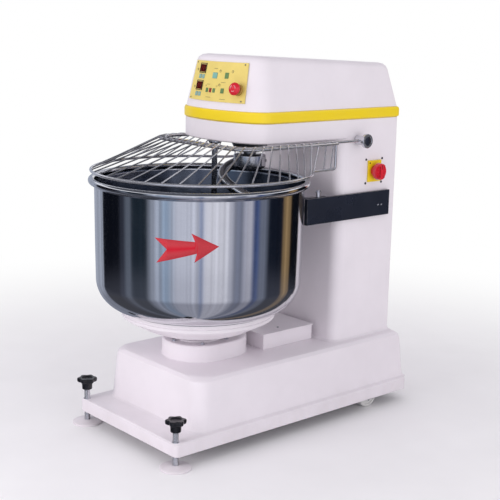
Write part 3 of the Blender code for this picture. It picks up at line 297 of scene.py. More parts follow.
WHITE = (0.78, 0.73, 0.775)
BRIGHT_STEEL = (0.66, 0.67, 0.70)
FINISHES = {
    "body_white": paint("white_powder_coat", WHITE, 0.36, grime=0.16, edge_wear_and_highlight=(0.58, 0.54, 0.55)),
    "band_yellow": paint("yellow_enamel", (0.84, 0.62, 0.010), 0.34, edge_wear_and_highlight=(0.62, 0.42, 0.10), coat=0.2),
    "panel_yellow": moulded("panel_foil", (0.76, 0.60, 0.17), 0.42, 0.00006, 0.05),
    "stainless": metal("brushed_stainless", BRIGHT_STEEL, 0.20, (1, 1, 14), 40.0),
    "chrome": metal("chrome_plate", (0.68, 0.68, 0.72), 0.13, scale=90.0, depth=0.00001, bare=0.84),
    "steel": metal("machined_steel", (0.45, 0.46, 0.48), 0.34, (1, 1, 20), 60.0, rust=(0.16, 0.07, 0.03)),
    "cast": paint("grey_casting", (0.12, 0.14, 0.17), 0.5, 0.0005, edge_wear_and_highlight=(0.4, 0.4, 0.42)),
    # The black enamel's light edge colour is a painted edge highlight as well as wear
    "arm_black": paint("blue_black_enamel", (0.013, 0.016, 0.027), 0.28, edge_wear_and_highlight=(0.45, 0.46, 0.50), speck=0.2),
    "black_plastic": moulded("black_plastic", (0.006, 0.006, 0.009), 0.30, fade=0.3),
    "rubber": moulded("rubber", (0.020, 0.020, 0.021), 0.72, 0.0002),
    "roller_white": moulded("white_nylon", (0.70, 0.69, 0.68), 0.46, fade=0.05),
    "display": lit("display_window", (0.070, 0.006, 0.004), (0.5, 0.01, 0.01), 0.01),
    "red": moulded("red_plastic", (0.62, 0.012, 0.028), 0.27, 0.00004, 0.10, coat=0.5),
    "key_pale": moulded("pale_key", (0.24, 0.40, 0.37), 0.45, fade=0.06),
    "key_teal": moulded("teal_key", (0.19, 0.42, 0.36), 0.45, fade=0.08),
    "key_green": moulded("green_key", (0.13, 0.24, 0.09), 0.45, fade=0.08),
    "key_red": moulded("red_key", (0.32, 0.025, 0.025), 0.45, fade=0.08),
}
BOWL_STEEL = metal("polished_bowl", (0.70, 0.71, 0.74), 0.085, POLISH_LINES, 34.0, 0.000004, 0.05)
# The bowl's inside: a darker steel, which is painted shade
BOWL_INSIDE_SHADE = metal("bowl_inside_painted_shade", (0.13, 0.15, 0.19), 0.16, POLISH_LINES, 34.0, 0.000004, 0.10)
OCHRE = moulded("ochre_plastic", (0.42, 0.24, 0.045), 0.4, 0.00004)
STICKER = moulded("arrow_foil", (0.53, 0.004, 0.020), 0.60, 0.00003, 0.05)
STICKER.node_tree.nodes["Principled BSDF"].inputs["Specular IOR Level"].default_value = 0.08
INK = moulded("printed_ink", (0.035, 0.04, 0.04), 0.5, 0.00002)
DIGIT = lit("lit_digit", (0.16, 0.012, 0.010), (1.0, 0.05, 0.02), 0.06)


# ---------------------------------------------------------------- mesh helpers

def finish_piece(piece, body, slot, *nodes, material=None, sharp=35.0):
    """Gives a piece its body, its slot, its finish and its shading."""
    if piece.name not in bpy.context.scene.collection.objects:
        bpy.context.scene.collection.objects.link(piece)
    piece.data.materials.clear()
    piece.data.materials.append(material or FINISHES[slot])
    if piece.type == "MESH":
        piece.data.shade_smooth()
        piece.data.set_sharp_from_angle(angle=math.radians(sharp))
    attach(piece, body)
    if nodes:
        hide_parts(*nodes)
    return piece


def mesh_object(name, points, faces):
    """An object from points and faces."""
    mesh = bpy.data.meshes.new(name)
    mesh.from_pydata(points, [], faces)
    mesh.validate()
    return bpy.data.objects.new(name, mesh)


def skin(name, rings, endless=False, caps=True):
    """A surface through rings of equally many points, closed at both ends or joined end to end."""
    count = len(rings[0])
    points = [point for ring in rings for point in ring]
    faces = []
    last = len(rings) if endless else len(rings) - 1
    for i in range(last):
        j = (i + 1) % len(rings)
        for k in range(count):
            m = (k + 1) % count
            faces.append((i * count + k, i * count + m, j * count + m, j * count + k))
    if caps and not endless:
        faces.append(tuple(range(count))[::-1])
        faces.append(tuple((len(rings) - 1) * count + k for k in range(count)))
    made = mesh_object(name, points, faces)
    tidy_normals(made)
    return made


def tidy_normals(piece):
    """Joins coincident points and turns all faces outwards."""
    work = bmesh.new()
    work.from_mesh(piece.data)
    bmesh.ops.remove_doubles(work, verts=work.verts, dist=1e-6)
    bmesh.ops.recalc_face_normals(work, faces=work.faces)
    work.to_mesh(piece.data)
    work.free()


def arc(x, y, radius, start, end, steps):
    """Points on an arc, in degrees anticlockwise from +X."""
    turns = [math.radians(start + (end - start) * i / steps) for i in range(steps + 1)]
    return [(x + radius * math.cos(a), y + radius * math.sin(a)) for a in turns]


def rounded(profile, radius, steps=3):
    """The (radius, height) profile with its corners eased."""
    made = [profile[0]]
    for before, corner, after in zip(profile, profile[1:], profile[2:]):
        a, b, c = Vector(before), Vector(corner), Vector(after)
        reach = min(radius, (a - b).length * 0.45, (c - b).length * 0.45)
        start = b + (a - b).normalized() * reach
        end = b + (c - b).normalized() * reach
        for i in range(steps + 1):
            t = i / steps
            point = (1 - t) ** 2 * start + 2 * t * (1 - t) * b + t * t * end
            made.append((max(0.0, point.x), point.y))
    made.append(profile[-1])
    return made


AXES = {
    "Z": Matrix.Identity(4),
    "X": Matrix.Rotation(math.pi / 2, 4, "Y"),
    "-X": Matrix.Rotation(-math.pi / 2, 4, "Y"),
}


def turned(name, profile, place=(0, 0, 0), along="Z", steps=64, closed=False, ease=0.0, lobe=None):
    """A turned piece from (radius, height) pairs. closed joins the last pair to the first."""
    if ease:
        profile = rounded(profile, ease)
    matrix = place if isinstance(place, Matrix) else Matrix.Translation(place) @ AXES[along]
    rings = []
    for radius, height in profile:
        ring = []
        for i in range(steps):
            turn = 2 * math.pi * i / steps
            reach = radius + (lobe(turn, radius, height) if lobe else 0.0)
            ring.append(matrix @ Vector((reach * math.cos(turn), reach * math.sin(turn), height)))
        rings.append(ring)
    return skin(name, rings, endless=closed, caps=not closed)


def smooth_path(points, radius, rounds=2):
    """The path with its bends rounded, by cutting its corners."""
    path = [Vector(p) for p in points]
    for _ in range(rounds):
        cut = [path[0]]
        for a, b in zip(path, path[1:]):
            reach = min(0.25, radius / max(1e-6, (b - a).length))
            cut += [a.lerp(b, reach), a.lerp(b, 1 - reach)]
        cut.append(path[-1])
        path = cut
    return path


def tube(name, points, radius, sides, taper=0):
    """A round bar along a path. taper rounds its last points off."""
    path = [Vector(p) for p in points]
    count = len(path)
    ahead = (path[1] - path[0]).normalized()
    side = ahead.orthogonal().normalized()
    rings = []
    for i, point in enumerate(path):
        toward = (path[min(i + 1, count - 1)] - path[max(i - 1, 0)]).normalized()
        side = (side - toward * side.dot(toward)).normalized()
        other = toward.cross(side)
        left = count - 1 - i
        scale = 1.0
        if taper and left < taper:
            scale = math.sqrt(max(0.0025, 1 - (1 - left / taper) ** 2))
        turns = [2 * math.pi * k / sides for k in range(sides)]
        rings.append([point + radius * scale * (side * math.cos(a) + other * math.sin(a)) for a in turns])
    return skin(name, rings)


def merged(name, pieces):
    """One object from several."""
    work = bmesh.new()
    for piece in pieces:
        piece.data.transform(piece.matrix_world)
        work.from_mesh(piece.data)
    mesh = bpy.data.meshes.new(name)
    work.to_mesh(mesh)
    work.free()
    for piece in pieces:
        bpy.data.objects.remove(piece)
    return bpy.data.objects.new(name, mesh)


def refined(node, width, segments=2, angle=40.0):
    """A smooth copy of a CAD node with eased edges, in the node's own place."""
    piece = bpy.data.objects.new(node + "_skin", NODES[node].data.copy())
    bpy.context.scene.collection.objects.link(piece)
    piece.matrix_world = NODES[node].matrix_world
    work = bmesh.new()
    work.from_mesh(piece.data)
    bmesh.ops.remove_doubles(work, verts=work.verts, dist=2e-6)
    bmesh.ops.dissolve_limit(work, angle_limit=math.radians(0.3), verts=work.verts, edges=work.edges)
    work.to_mesh(piece.data)
    work.free()
    if "custom_normal" in piece.data.attributes:
        piece.data.attributes.remove(piece.data.attributes["custom_normal"])
    finish_piece(piece, BODY_OF[node], SLOTS[node], node, sharp=32.0)
    bevel = piece.modifiers.new("eased_edges", "BEVEL")
    bevel.width = width
    bevel.segments = segments
    bevel.limit_method = "ANGLE"
    bevel.angle_limit = math.radians(angle)
    bevel.harden_normals = True


def eased_box(name, low, high, ease, matrix=None):
    """A box with eased edges between two corners."""
    work = bmesh.new()
    bmesh.ops.create_cube(work, size=1.0)
    size = Vector(high) - Vector(low)
    middle = (Vector(high) + Vector(low)) / 2
    stretch = Matrix.Translation(middle) @ Matrix.Diagonal((*size, 1))
    bmesh.ops.transform(work, matrix=stretch, verts=work.verts)
    bmesh.ops.bevel(work, geom=work.edges[:], offset=ease, segments=2, profile=0.5, affect="EDGES")
    if matrix:
        bmesh.ops.transform(work, matrix=matrix, verts=work.verts)
    mesh = bpy.data.meshes.new(name)
    work.to_mesh(mesh)
    work.free()
    return bpy.data.objects.new(name, mesh)


# ---------------------------------------------------------------- fasteners

def facing(place, outward):
    """A matrix at a place whose Z points outwards."""
    return Matrix.Translation(place) @ Vector(outward).to_track_quat("Z", "Y").to_matrix().to_4x4()


def hexagon(turn, radius):
    """How far inside the circle through its corners a hexagon's side lies at this turn."""
    part = (turn + math.pi / 6) % (math.pi / 3) - math.pi / 6
    return radius * math.cos(math.pi / 6) / math.cos(part) - radius


def socket_screw(name, place, outward, radius, height):
    """A domed screw head with a hexagonal socket."""
    socket = radius * 0.5
    dome = [(radius, 0.0), (radius, height * 0.35)]
    dome += [(radius * 0.93, height * 0.68), (radius * 0.72, height * 0.95)]
    recess = [(socket * 1.12, height), (socket, height * 0.97), (socket, height * 0.35), (0.0, height * 0.25)]

    def lobe(turn, reach, level):
        return hexagon(turn, reach) if 0 < reach <= socket * 1.001 else 0.0

    return turned(name, dome + recess, facing(place, outward), steps=24, lobe=lobe)


def screw_set(name, body, slot, places, outward, radius, height):
    """Equal socket screws at several places, as one piece."""
    heads = [socket_screw(name, place, outward, radius, height) for place in places]
    finish_piece(merged(name, heads), body, slot, sharp=25)


def hex_head(name, place, outward, radius, height):
    """A hexagonal head or nut on a washer, with its chamfered corners."""
    washer = radius * 1.35
    t = 0.0016
    profile = [(washer, 0.0), (washer, t * 0.8), (washer - 0.0004, t), (radius, t)]
    profile += [(radius, t + height * 0.82), (radius * 0.9, t + height), (0.0, t + height)]

    def lobe(turn, reach, level):
        on_hexagon = level >= t * 0.999 and radius * 0.95 < reach <= radius
        return hexagon(turn, reach) if on_hexagon else 0.0

    return turned(name, profile, facing(place, outward), steps=48, lobe=lobe)


def thread(name, place, radius, low, high, pitch, depth, steps=24):
    """A threaded rod: its surface rises and falls once for each pitch along it."""
    count = int((high - low) / pitch * 6)
    rings = []
    for i in range(count + 1):
        height = low + (high - low) * i / count
        end = min(1.0, (height - low) / 0.002, (high - height) / 0.002)
        ring = []
        for k in range(steps):
            turn = 2 * math.pi * k / steps
            phase = ((height - low) / pitch - k / steps) % 1.0
            ridge = 1 - abs(2 * phase - 1)
            reach = radius - depth * (1 - ridge * max(0.0, end)) - 0.001 * (1 - max(0.0, end))
            ring.append(Vector(place) + Vector((reach * math.cos(turn), reach * math.sin(turn), height)))
        rings.append(ring)
    return skin(name, rings)


# ---------------------------------------------------------------- bowl

def bowl():
    """The bowl's fine shell with its rolled rim, its inside rougher and painted dark as shade, and the
    direction arrow on its wall.
    """
    corner = BOWL_CORNER_R
    low_r = BOWL_R - BOWL_TAPER
    bead = arc(RIM_R, BOWL_RIM_Z, BEAD_R, 215, -65, 20)
    outer = [(BOWL_R, BOWL_RIM_Z - 0.020), ((BOWL_R + low_r) / 2, (BOWL_RIM_Z + BOWL_BASE_Z) / 2)]
    bend = arc(low_r - corner, BOWL_BASE_Z + corner, corner, 0, -90, 20)
    inner_bend = arc(low_r - corner, BOWL_BASE_Z + corner, corner - SHEET, -90, 0, 20)
    profile = [(0, BOWL_BASE_Z + SHEET)] + inner_bend + [(BOWL_R - SHEET, BOWL_RIM_Z - 0.016)]
    profile += bead + outer + bend + [(0, BOWL_BASE_Z)]
    shell = turned("bowl_wall", profile, (0, BOWL_Y, 0), steps=192)
    finish_piece(shell, "bowl", "stainless", "bowl_shell", material=BOWL_STEEL, sharp=50)
    shell.data.materials.append(BOWL_INSIDE_SHADE)
    # The inside wall and the inner bottom take the dark steel: painted shade
    for face in shell.data.polygons:
        inward = Vector((-face.center.x, BOWL_Y - face.center.y, 0)).dot(face.normal) > 0
        below_rim = face.center.z < BOWL_RIM_Z - 0.020
        if below_rim and (inward or face.normal.z > 0.5):
            face.material_index = 1
    flat_r = low_r - corner
    bead_section = [
        (flat_r + 0.022, BOWL_BASE_Z + 0.0030), (flat_r + 0.026, BOWL_BASE_Z + 0.0010),
        (flat_r + 0.020, BOWL_BASE_Z - 0.0001),
    ]
    seam = turned("bowl_base_weld", bead_section, (0, BOWL_Y, 0), steps=96, closed=True)
    finish_piece(seam, "bowl", "stainless")
    arrow()


# The arrow's outline as turn round the bowl in degrees and height, and how finely it is cut to bend round
ARROW_CUT = 0.6
STICKER_LIFT = 0.0006
ARROW = (
    (-61.6, 0.839), (-55.1, 0.800), (-60.7, 0.749), (-39.6, 0.789),
    (-40.9, 0.756), (-28.5, 0.8145), (-42.5, 0.861), (-40.6, 0.831),
)


def arrow():
    """The turning-direction sticker: a flat outline bent round the bowl's wall."""
    work = bmesh.new()
    corners = [work.verts.new((math.radians(turn) * BOWL_R, height, 0)) for turn, height in ARROW]
    work.faces.new(corners)
    first = math.radians(-62.5)
    for i in range(60):
        cut_at = (first + math.radians(ARROW_CUT) * i) * BOWL_R
        geometry = work.verts[:] + work.edges[:] + work.faces[:]
        bmesh.ops.bisect_plane(work, geom=geometry, plane_co=(cut_at, 0, 0), plane_no=(1, 0, 0))
    bmesh.ops.triangulate(work, faces=work.faces[:])
    for vert in work.verts:
        turn, height = vert.co.x / BOWL_R, vert.co.y
        span = (height - BOWL_BASE_Z - BOWL_CORNER_R) / (BOWL_RIM_Z - BOWL_BASE_Z - BOWL_CORNER_R)
        reach = BOWL_R - BOWL_TAPER * (1 - span) + STICKER_LIFT
        vert.co = (reach * math.cos(turn), BOWL_Y + reach * math.sin(turn), height)
    bmesh.ops.recalc_face_normals(work, faces=work.faces)
    mesh = bpy.data.meshes.new("arrow_sticker")
    work.to_mesh(mesh)
    work.free()
    sticker = bpy.data.objects.new("arrow_sticker", mesh)
    finish_piece(sticker, "bowl", "red", material=STICKER, sharp=180)
    thick = sticker.modifiers.new("foil", "SOLIDIFY")
    thick.thickness = 0.0004
    thick.offset = 0


def pan():
    """The white pan that the bowl's base is welded to, and the oil slinger under it."""
    top = BOWL_BASE_Z - 0.0003
    profile = [
        (0.300, top), (0.300, 0.4835), (0.2975, 0.4825), (0.2975, 0.4795), (0.300, 0.4785), (0.300, 0.466),
        (0.215, 0.420), (0.172, 0.404), (0.160, PAN_BASE_Z), (0.0262, PAN_BASE_Z), (0.0262, 0.415),
        (0.150, 0.415), (0.205, 0.428), (0.278, 0.470), (0.278, top),
    ]
    made = turned("bowl_pan_skin", rounded(profile, 0.004), (0, BOWL_Y, 0), steps=144, closed=True)
    finish_piece(made, "bowl", "body_white", "bowl_pan", sharp=50)
    ring = [(0.112, 0.3999), (0.116, 0.3997), (0.117, 0.3985), (0.100, 0.3983), (0.099, 0.3990)]
    slinger = turned("oil_slinger", ring, (0, BOWL_Y, 0), steps=96, closed=True)
    finish_piece(slinger, "bowl", "chrome")


def rounded_ring(half, front, rear, radius, z, steps):
    """A level rectangle of points with round corners."""
    flat = arc(half - radius, front + radius, radius, -90, 0, steps)
    flat += arc(half - radius, rear - radius, radius, 0, 90, steps)
    flat += arc(radius - half, rear - radius, radius, 90, 180, steps)
    flat += arc(radius - half, front + radius, radius, 180, 270, steps)
    return [(x, y, z) for x, y in flat]


def pedestal():
    """The bowl's pedestal on the base with its turned neck and its flange bolts."""
    rings = []
    low = HUMP_TOP + 0.0003
    levels = [(-0.004, low), (-0.002, 0.3075), (-0.0004, 0.310), (0, 0.313), (0, 0.362)]
    levels += [(0.008 * (1 - math.cos(a)), 0.364 + 0.008 * math.sin(a)) for a in (0.4, 0.8, 1.2, 1.57)]
    for inset, z in levels:
        half = PEDESTAL_HALF - inset
        rings.append(rounded_ring(half, BOWL_Y - half, PEDESTAL_REAR - inset, half - 0.0005, z, 24))
    block = skin("pedestal_block", rings)
    finish_piece(block, "root", "body_white", "bowl_bearing_housing", sharp=40)
    neck = [(0.098, PEDESTAL_TOP - 0.001), (0.098, 0.378), (0.085, 0.380), (0.085, 0.395), (0.082, 0.398)]
    neck += [(0.0275, 0.398), (0.0275, PEDESTAL_TOP - 0.001)]
    finish_piece(turned("pedestal_neck", neck, (0, BOWL_Y, 0), steps=96, closed=True), "root", "body_white")
    bolts = []
    for i in range(6):
        a = math.pi * (2 * i + 1) / 6
        place = (0.118 * math.cos(a), BOWL_Y + 0.118 * math.sin(a), PEDESTAL_TOP)
        bolts.append(hex_head(f"pedestal_bolt_{i}", place, (0, 0, 1), 0.0075, 0.0055))
    finish_piece(merged("pedestal_bolts", bolts), "root", "chrome", sharp=25)


# ---------------------------------------------------------------- spiral

def hook_points(count):
    """The hook's middle line, winding out and down from the flange."""
    top, bottom = 1.044, BOWL_BASE_Z + 0.040
    points = [(0, SPIRAL_Y, top)]
    for i in range(1, count + 1):
        t = i / count
        reach = min(1.0, t / 0.22)
        radius = SPIRAL_R * math.sin(reach * math.pi / 2)
        if t > 0.85:
            radius *= 1 - 0.55 * ((t - 0.85) / 0.15) ** 2
        drop = max(0.0, t - 0.06) / 0.94
        angle = math.radians(160 + 470 * t)
        z = top + (bottom - top) * drop ** 1.15
        points.append((radius * math.cos(angle), SPIRAL_Y + radius * math.sin(angle), z))
    return points


def spiral():
    """The kneading hook, a forged bar that winds down from its bolted flange, and the breaker bar."""
    bar = tube("hook_bar", hook_points(200), HOOK_R - 0.0003, sides=28, taper=8)
    flange = [(0, 1.080), (0.050, 1.080), (0.064, 1.074), (0.064, 1.030), (0.056, 1.020), (0, 1.020)]
    head = turned("hook_flange", flange, (0, SPIRAL_Y, 0), steps=72, ease=0.003)
    made = merged("kneading_hook", [bar, head])
    finish_piece(made, "spiral", "stainless", "spiral_hook", sharp=45)
    screws = []
    for i in range(4):
        a = math.pi * (2 * i + 1) / 4
        outward = (math.cos(a), math.sin(a), 0)
        place = (0.0635 * outward[0], SPIRAL_Y + 0.0635 * outward[1], 1.052)
        screws.append(socket_screw(f"hook_screw_{i}", place, outward, 0.006, 0.004))
    finish_piece(merged("hook_screws", screws), "spiral", "steel", sharp=25)
    bar_top = HEAD_Z0 - 0.0003
    post = [(0, bar_top), (0.024, bar_top), (0.024, bar_top - 0.010), (0.011, bar_top - 0.016)]
    post += [(0.011, 0.568), (0.006, 0.560), (0, 0.560)]
    piece = turned("breaker_bar_skin", post, (0, BREAKER_Y, 0), steps=48, ease=0.002)
    finish_piece(piece, "root", "stainless", "breaker_bar", sharp=40)


# ---------------------------------------------------------------- guard

def lower_path():
    """The guard's lower rod: round the front over the bowl's rim and up to the shaft at both sides."""
    reach = math.degrees(math.acos(GUARD_SIDE_X / GUARD_RING_R))
    ring = arc(0, GUARD_RING_Y, GUARD_RING_R, reach, -180 - reach, 120)
    low = GUARD_RING_Z
    top = (GUARD_SIDE_X, GUARD_BACK_Y, GUARD_PIVOT_Z)
    right = [top, (GUARD_SIDE_X, GUARD_BACK_Y, low + 0.008), (GUARD_SIDE_X, GUARD_BACK_Y - 0.008, low)]
    left = [(-x, y, z) for x, y, z in right[::-1]]
    return right + [(x, y, low) for x, y in ring] + left


def upper_path(out, rear):
    """An upper rod round the head, out from the inner one and ending at rear on both sides."""
    side_x = GUARD_SIDE_X + out
    slope = math.atan(2 * GUARD_BOW * GUARD_FRONT_REACH)
    corner_r = (side_x - GUARD_FRONT_REACH) / (1 - math.sin(slope))
    half = []
    for i in range(17):
        x = GUARD_FRONT_REACH * i / 16
        half.append((x, GUARD_FRONT_Y - out + GUARD_BOW * x * x))
    corner_x = GUARD_FRONT_REACH - corner_r * math.sin(slope)
    corner_y = half[-1][1] + corner_r * math.cos(slope)
    half += arc(corner_x, corner_y, corner_r, math.degrees(slope) - 90, 0, 16)[1:]
    half.append((side_x, rear))
    flat = [(-x, y) for x, y in half[:0:-1]] + half
    return [(x, y, GUARD_PIVOT_Z) for x, y in flat]


def along(points, fraction):
    """The point at a fraction of a path's length."""
    lengths = [(Vector(b) - Vector(a)).length for a, b in zip(points, points[1:])]
    left = fraction * sum(lengths)
    for (a, b), length in zip(zip(points, points[1:]), lengths):
        if left <= length:
            return Vector(a).lerp(Vector(b), left / length)
        left -= length
    return Vector(points[-1])


def wire_foot(t):
    """Where on the lower rod the wire from the fraction t of the upper rod ends."""
    half = min(t, 1 - t)
    for (a, foot_a), (b, foot_b) in zip(GUARD_WIRE_FEET, GUARD_WIRE_FEET[1:]):
        if half <= b:
            foot = foot_a + (foot_b - foot_a) * (half - a) / (b - a)
            return foot if t <= 0.5 else 1 - foot
    return 0.5


def guard():
    """The wire guard: three bent rods, the wires welded over them and the two pivot sleeves."""
    inner = upper_path(0, GUARD_PIVOT_Y)
    rear = GUARD_BACK_Y - 0.004
    outer = [(x, y, z - 0.004) for x, y, z in upper_path(0.016, rear)]
    end = (GUARD_SIDE_X - 0.001, rear, GUARD_PIVOT_Z - 0.002)
    outer = [(-end[0], end[1], end[2])] + outer + [end]
    lower = lower_path()
    frame_rods = [
        tube("rod_inner", inner, GUARD_ROD_R, 16),
        tube("rod_outer", smooth_path(outer, 0.004, 1), GUARD_ROD_R, 16),
        tube("rod_lower", smooth_path(lower, 0.006, 1), GUARD_ROD_R, 16),
    ]
    top_inner = upper_path(0, rear)
    top_outer = outer[1:-1]
    bottom = lower[2:-2]
    wires, welds = [], []
    for i in range(GUARD_WIRES):
        t = (i + 0.6) / (GUARD_WIRES + 0.2)
        foot = along(bottom, 1 - wire_foot(t))
        knee = along(top_outer, t) + Vector((0, 0, GUARD_ROD_R + GUARD_WIRE_R + 0.0005))
        tip = along(top_inner, t) + Vector((0, 0, 0.0045))
        down = (foot - knee).normalized()
        level = (tip - knee).normalized()
        bend = [knee - level * -0.014, knee - level * -0.006, knee + down * 0.006, knee + down * 0.014]
        crown = knee.lerp((bend[1] + bend[2]) / 2, 0.7)
        path = [tip, bend[0], bend[1], crown, bend[2], bend[3], foot]
        wires.append(tube(f"wire_{i}", path, GUARD_WIRE_R, 10))
        for spot, size in ((foot, 0.0052), (tip, 0.0040)):
            upper = [(0, size * 0.8), (size * 0.6, size * 0.62), (size, 0)]
            blob = upper + [(r, -z) for r, z in upper[1::-1]]
            welds.append(turned("weld", rounded(blob, 0.002, 2), tuple(spot), steps=10))
    finish_piece(merged("guard_rods", frame_rods), "guard", "chrome", "guard_grille")
    finish_piece(merged("guard_wires", wires), "guard", "chrome")
    finish_piece(merged("guard_welds", welds), "guard", "stainless")
    for name, side in SIDES:
        face = GUARD_HUB_X1
        r, sleeve = GUARD_HUB_R, GUARD_SLEEVE_R
        head = [(0.0195, face), (r - 0.002, face), (r, face - 0.002), (r, face - 0.013)]
        stem = [(sleeve, face - 0.018), (sleeve, GUARD_HUB_X0)]
        bore = [(0.0105, GUARD_HUB_X0), (0.0105, face - 0.012), (0.0185, face - 0.012)]
        profile = [(0.0185, face - 0.0012)] + head + stem + bore
        turn = "X" if side > 0 else "-X"
        place = (0, GUARD_PIVOT_Y, GUARD_PIVOT_Z)
        hub = turned("guard_hub_" + name, profile, place, turn, 64, closed=True)
        finish_piece(hub, "guard", "chrome", sharp=40)
        plug = [(0.0183, face - 0.0113), (0.0183, face - 0.0015), (0.0165, face - 0.0002), (0, face + 0.0006)]
        disc = turned("hub_cap_" + name, plug, place, turn, 48)
        finish_piece(disc, "guard", "arm_black", sharp=40)


# ---------------------------------------------------------------- control panel

def panel_y(x, z):
    """How far back the head's bowed and leaning front lies."""
    height = (z - HOOD_Z0) / (HOOD_TOP - HOOD_Z0)
    return HEAD_FRONT + 0.003 + HOOD_LEAN_FRONT * height + HEAD_BOW * x * x


def panel_place(x, z, out=PANEL_OUT):
    """A matrix on the panel's face: X across, Y up the panel, Z outwards."""
    lean = HOOD_LEAN_FRONT / (HOOD_TOP - HOOD_Z0)
    outward = Vector((2 * HEAD_BOW * x, -1.0, lean)).normalized()
    across = Vector((0, 0, 1)).cross(outward).normalized()
    upward = outward.cross(across)
    turn = Matrix((across, upward, outward)).transposed().to_4x4()
    return Matrix.Translation((x, panel_y(x, z) - out, z)) @ turn


def panel_line(name, points, radius):
    """A printed line on the panel through (x, z) points."""
    path = []
    for (x0, z0), (x1, z1) in zip(points, points[1:]):
        steps = max(1, int(math.hypot(x1 - x0, z1 - z0) / 0.01))
        for i in range(steps):
            t = i / steps
            path.append(panel_place(x0 + (x1 - x0) * t, z0 + (z1 - z0) * t) @ Vector((0, 0, 0.0001)))
    path.append(panel_place(*points[-1]) @ Vector((0, 0, 0.0001)))
    return tube(name, path, radius, 6)


# Which of a digit's bars are lit: top, upper left, upper right, middle, lower left, lower right, bottom
SEGMENTS = {"0": "1110111", "2": "1011101", "5": "1101011", "8": "1111111"}


def digit_bars(name, shown, place, x):
    """One digit's lit bars, each a thin six-sided plate."""
    w, h = 0.0042, 0.0062
    spots = [
        (0, h, 0), (-w / 2, h / 2, 1), (w / 2, h / 2, 1), (0, 0, 0),
        (-w / 2, -h / 2, 1), (w / 2, -h / 2, 1), (0, -h, 0),
    ]
    bars = []
    for lit_up, (dx, dy, upright) in zip(SEGMENTS[shown], spots):
        if lit_up == "0":
            continue
        half, thin = (h if upright else w) / 2 - 0.0004, 0.0006
        upper = [(-half, 0), (-half + thin, thin), (half - thin, thin)]
        flat = upper + [(-a, -b) for a, b in upper]
        if upright:
            flat = [(b, a) for a, b in flat]
        rings = [[place @ Vector((x + dx + a, dy + b, z)) for a, b in flat] for z in (0.0024, 0.0028)]
        bars.append(skin(f"{name}_{len(bars)}", rings))
    return bars


# What is printed on the panel, at (x, z): dials with a hand, bars with their width, and small triangles
DIALS = ((-0.128, 1.404), (-0.132, 1.338), (0.026, 1.404), (0.090, 1.404), (0.034, 1.352))
DIAL_R = 0.0045
BARS = (
    (-0.030, 1.352, 0.018), (0.052, 1.362, 0.022), (-0.001, 1.412, 0.020), (0.062, 1.300, 0.03),
    (-0.02, 1.304, 0.03),
)
TRIANGLES = ((-0.046, 1.347), (0.020, 1.347), (-0.0876, 1.398), (-0.0936, 1.332))
PRINT_R = 0.0006


def legends():
    """The panel's printed dials, bars and triangles."""
    marks = []
    for i, (x, z) in enumerate(DIALS):
        turns = [a * math.pi / 8 for a in range(17)]
        ring = [(x + DIAL_R * math.cos(turn), z + DIAL_R * math.sin(turn)) for turn in turns]
        marks.append(panel_line(f"dial_{i}", ring, PRINT_R))
        marks.append(panel_line(f"hand_{i}", [(x, z), (x + 0.0028, z + 0.0022)], PRINT_R))
    for i, (x, z, wide) in enumerate(BARS):
        marks.append(panel_line(f"legend_{i}", [(x - wide / 2, z), (x + wide / 2, z)], PRINT_R))
    for i, (x, z) in enumerate(TRIANGLES):
        corners = [(x - 0.003, z), (x + 0.003, z + 0.002), (x + 0.003, z - 0.002), (x - 0.003, z)]
        marks.append(panel_line(f"pointer_{i}", corners, 0.0005))
    finish_piece(merged("panel_legends", marks), "root", "black_plastic", material=INK)


def control_panel():
    """The panel's foil and legends, its display frames and digits, and its keys."""
    legends()
    digits = []
    for name, shown in (("display_upper", "20"), ("display_lower", "05")):
        low_corner, high_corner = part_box(name)
        middle = (Vector(low_corner) + Vector(high_corner)) / 2
        place = panel_place(middle.x, middle.z)
        for i, digit in enumerate(shown):
            digits += digit_bars(f"{name}_digit_{i}", digit, place, 0.0075 * (2 * i - 1))
        refined(name, 0.0006)
        bezel = [(-0.0215, -0.0170), (0.0215, -0.0170), (0.0215, 0.0170), (-0.0215, 0.0170)]
        rings = []
        for grow, z in ((0.0, 0.0002), (0.0, 0.0016), (-0.0022, 0.0016), (-0.0022, 0.0002)):
            flat = [(x + math.copysign(grow, x), y + math.copysign(grow, y)) for x, y in bezel]
            rings.append([place @ Vector((x, y, z)) for x, y in flat])
        finish_piece(skin(name + "_bezel", rings, endless=True), "root", "black_plastic")
    finish_piece(merged("lit_digits", digits), "root", "display", material=DIGIT)
    for node in NODES:
        if node.startswith("key_"):
            refined(node, 0.0008, 3)
    refined("control_panel", 0.0004, 1)
    corners = []
    for i, (x, z) in enumerate(((-0.150, 1.297), (0.150, 1.297), (-0.140, 1.431), (0.140, 1.431))):
        place = panel_place(x, z)
        outward = place.to_3x3().col[2]
        corners.append(socket_screw(f"panel_screw_{i}", place.translation, outward, 0.0030, 0.0018))
    finish_piece(merged("panel_screws", corners), "root", "steel", sharp=25)


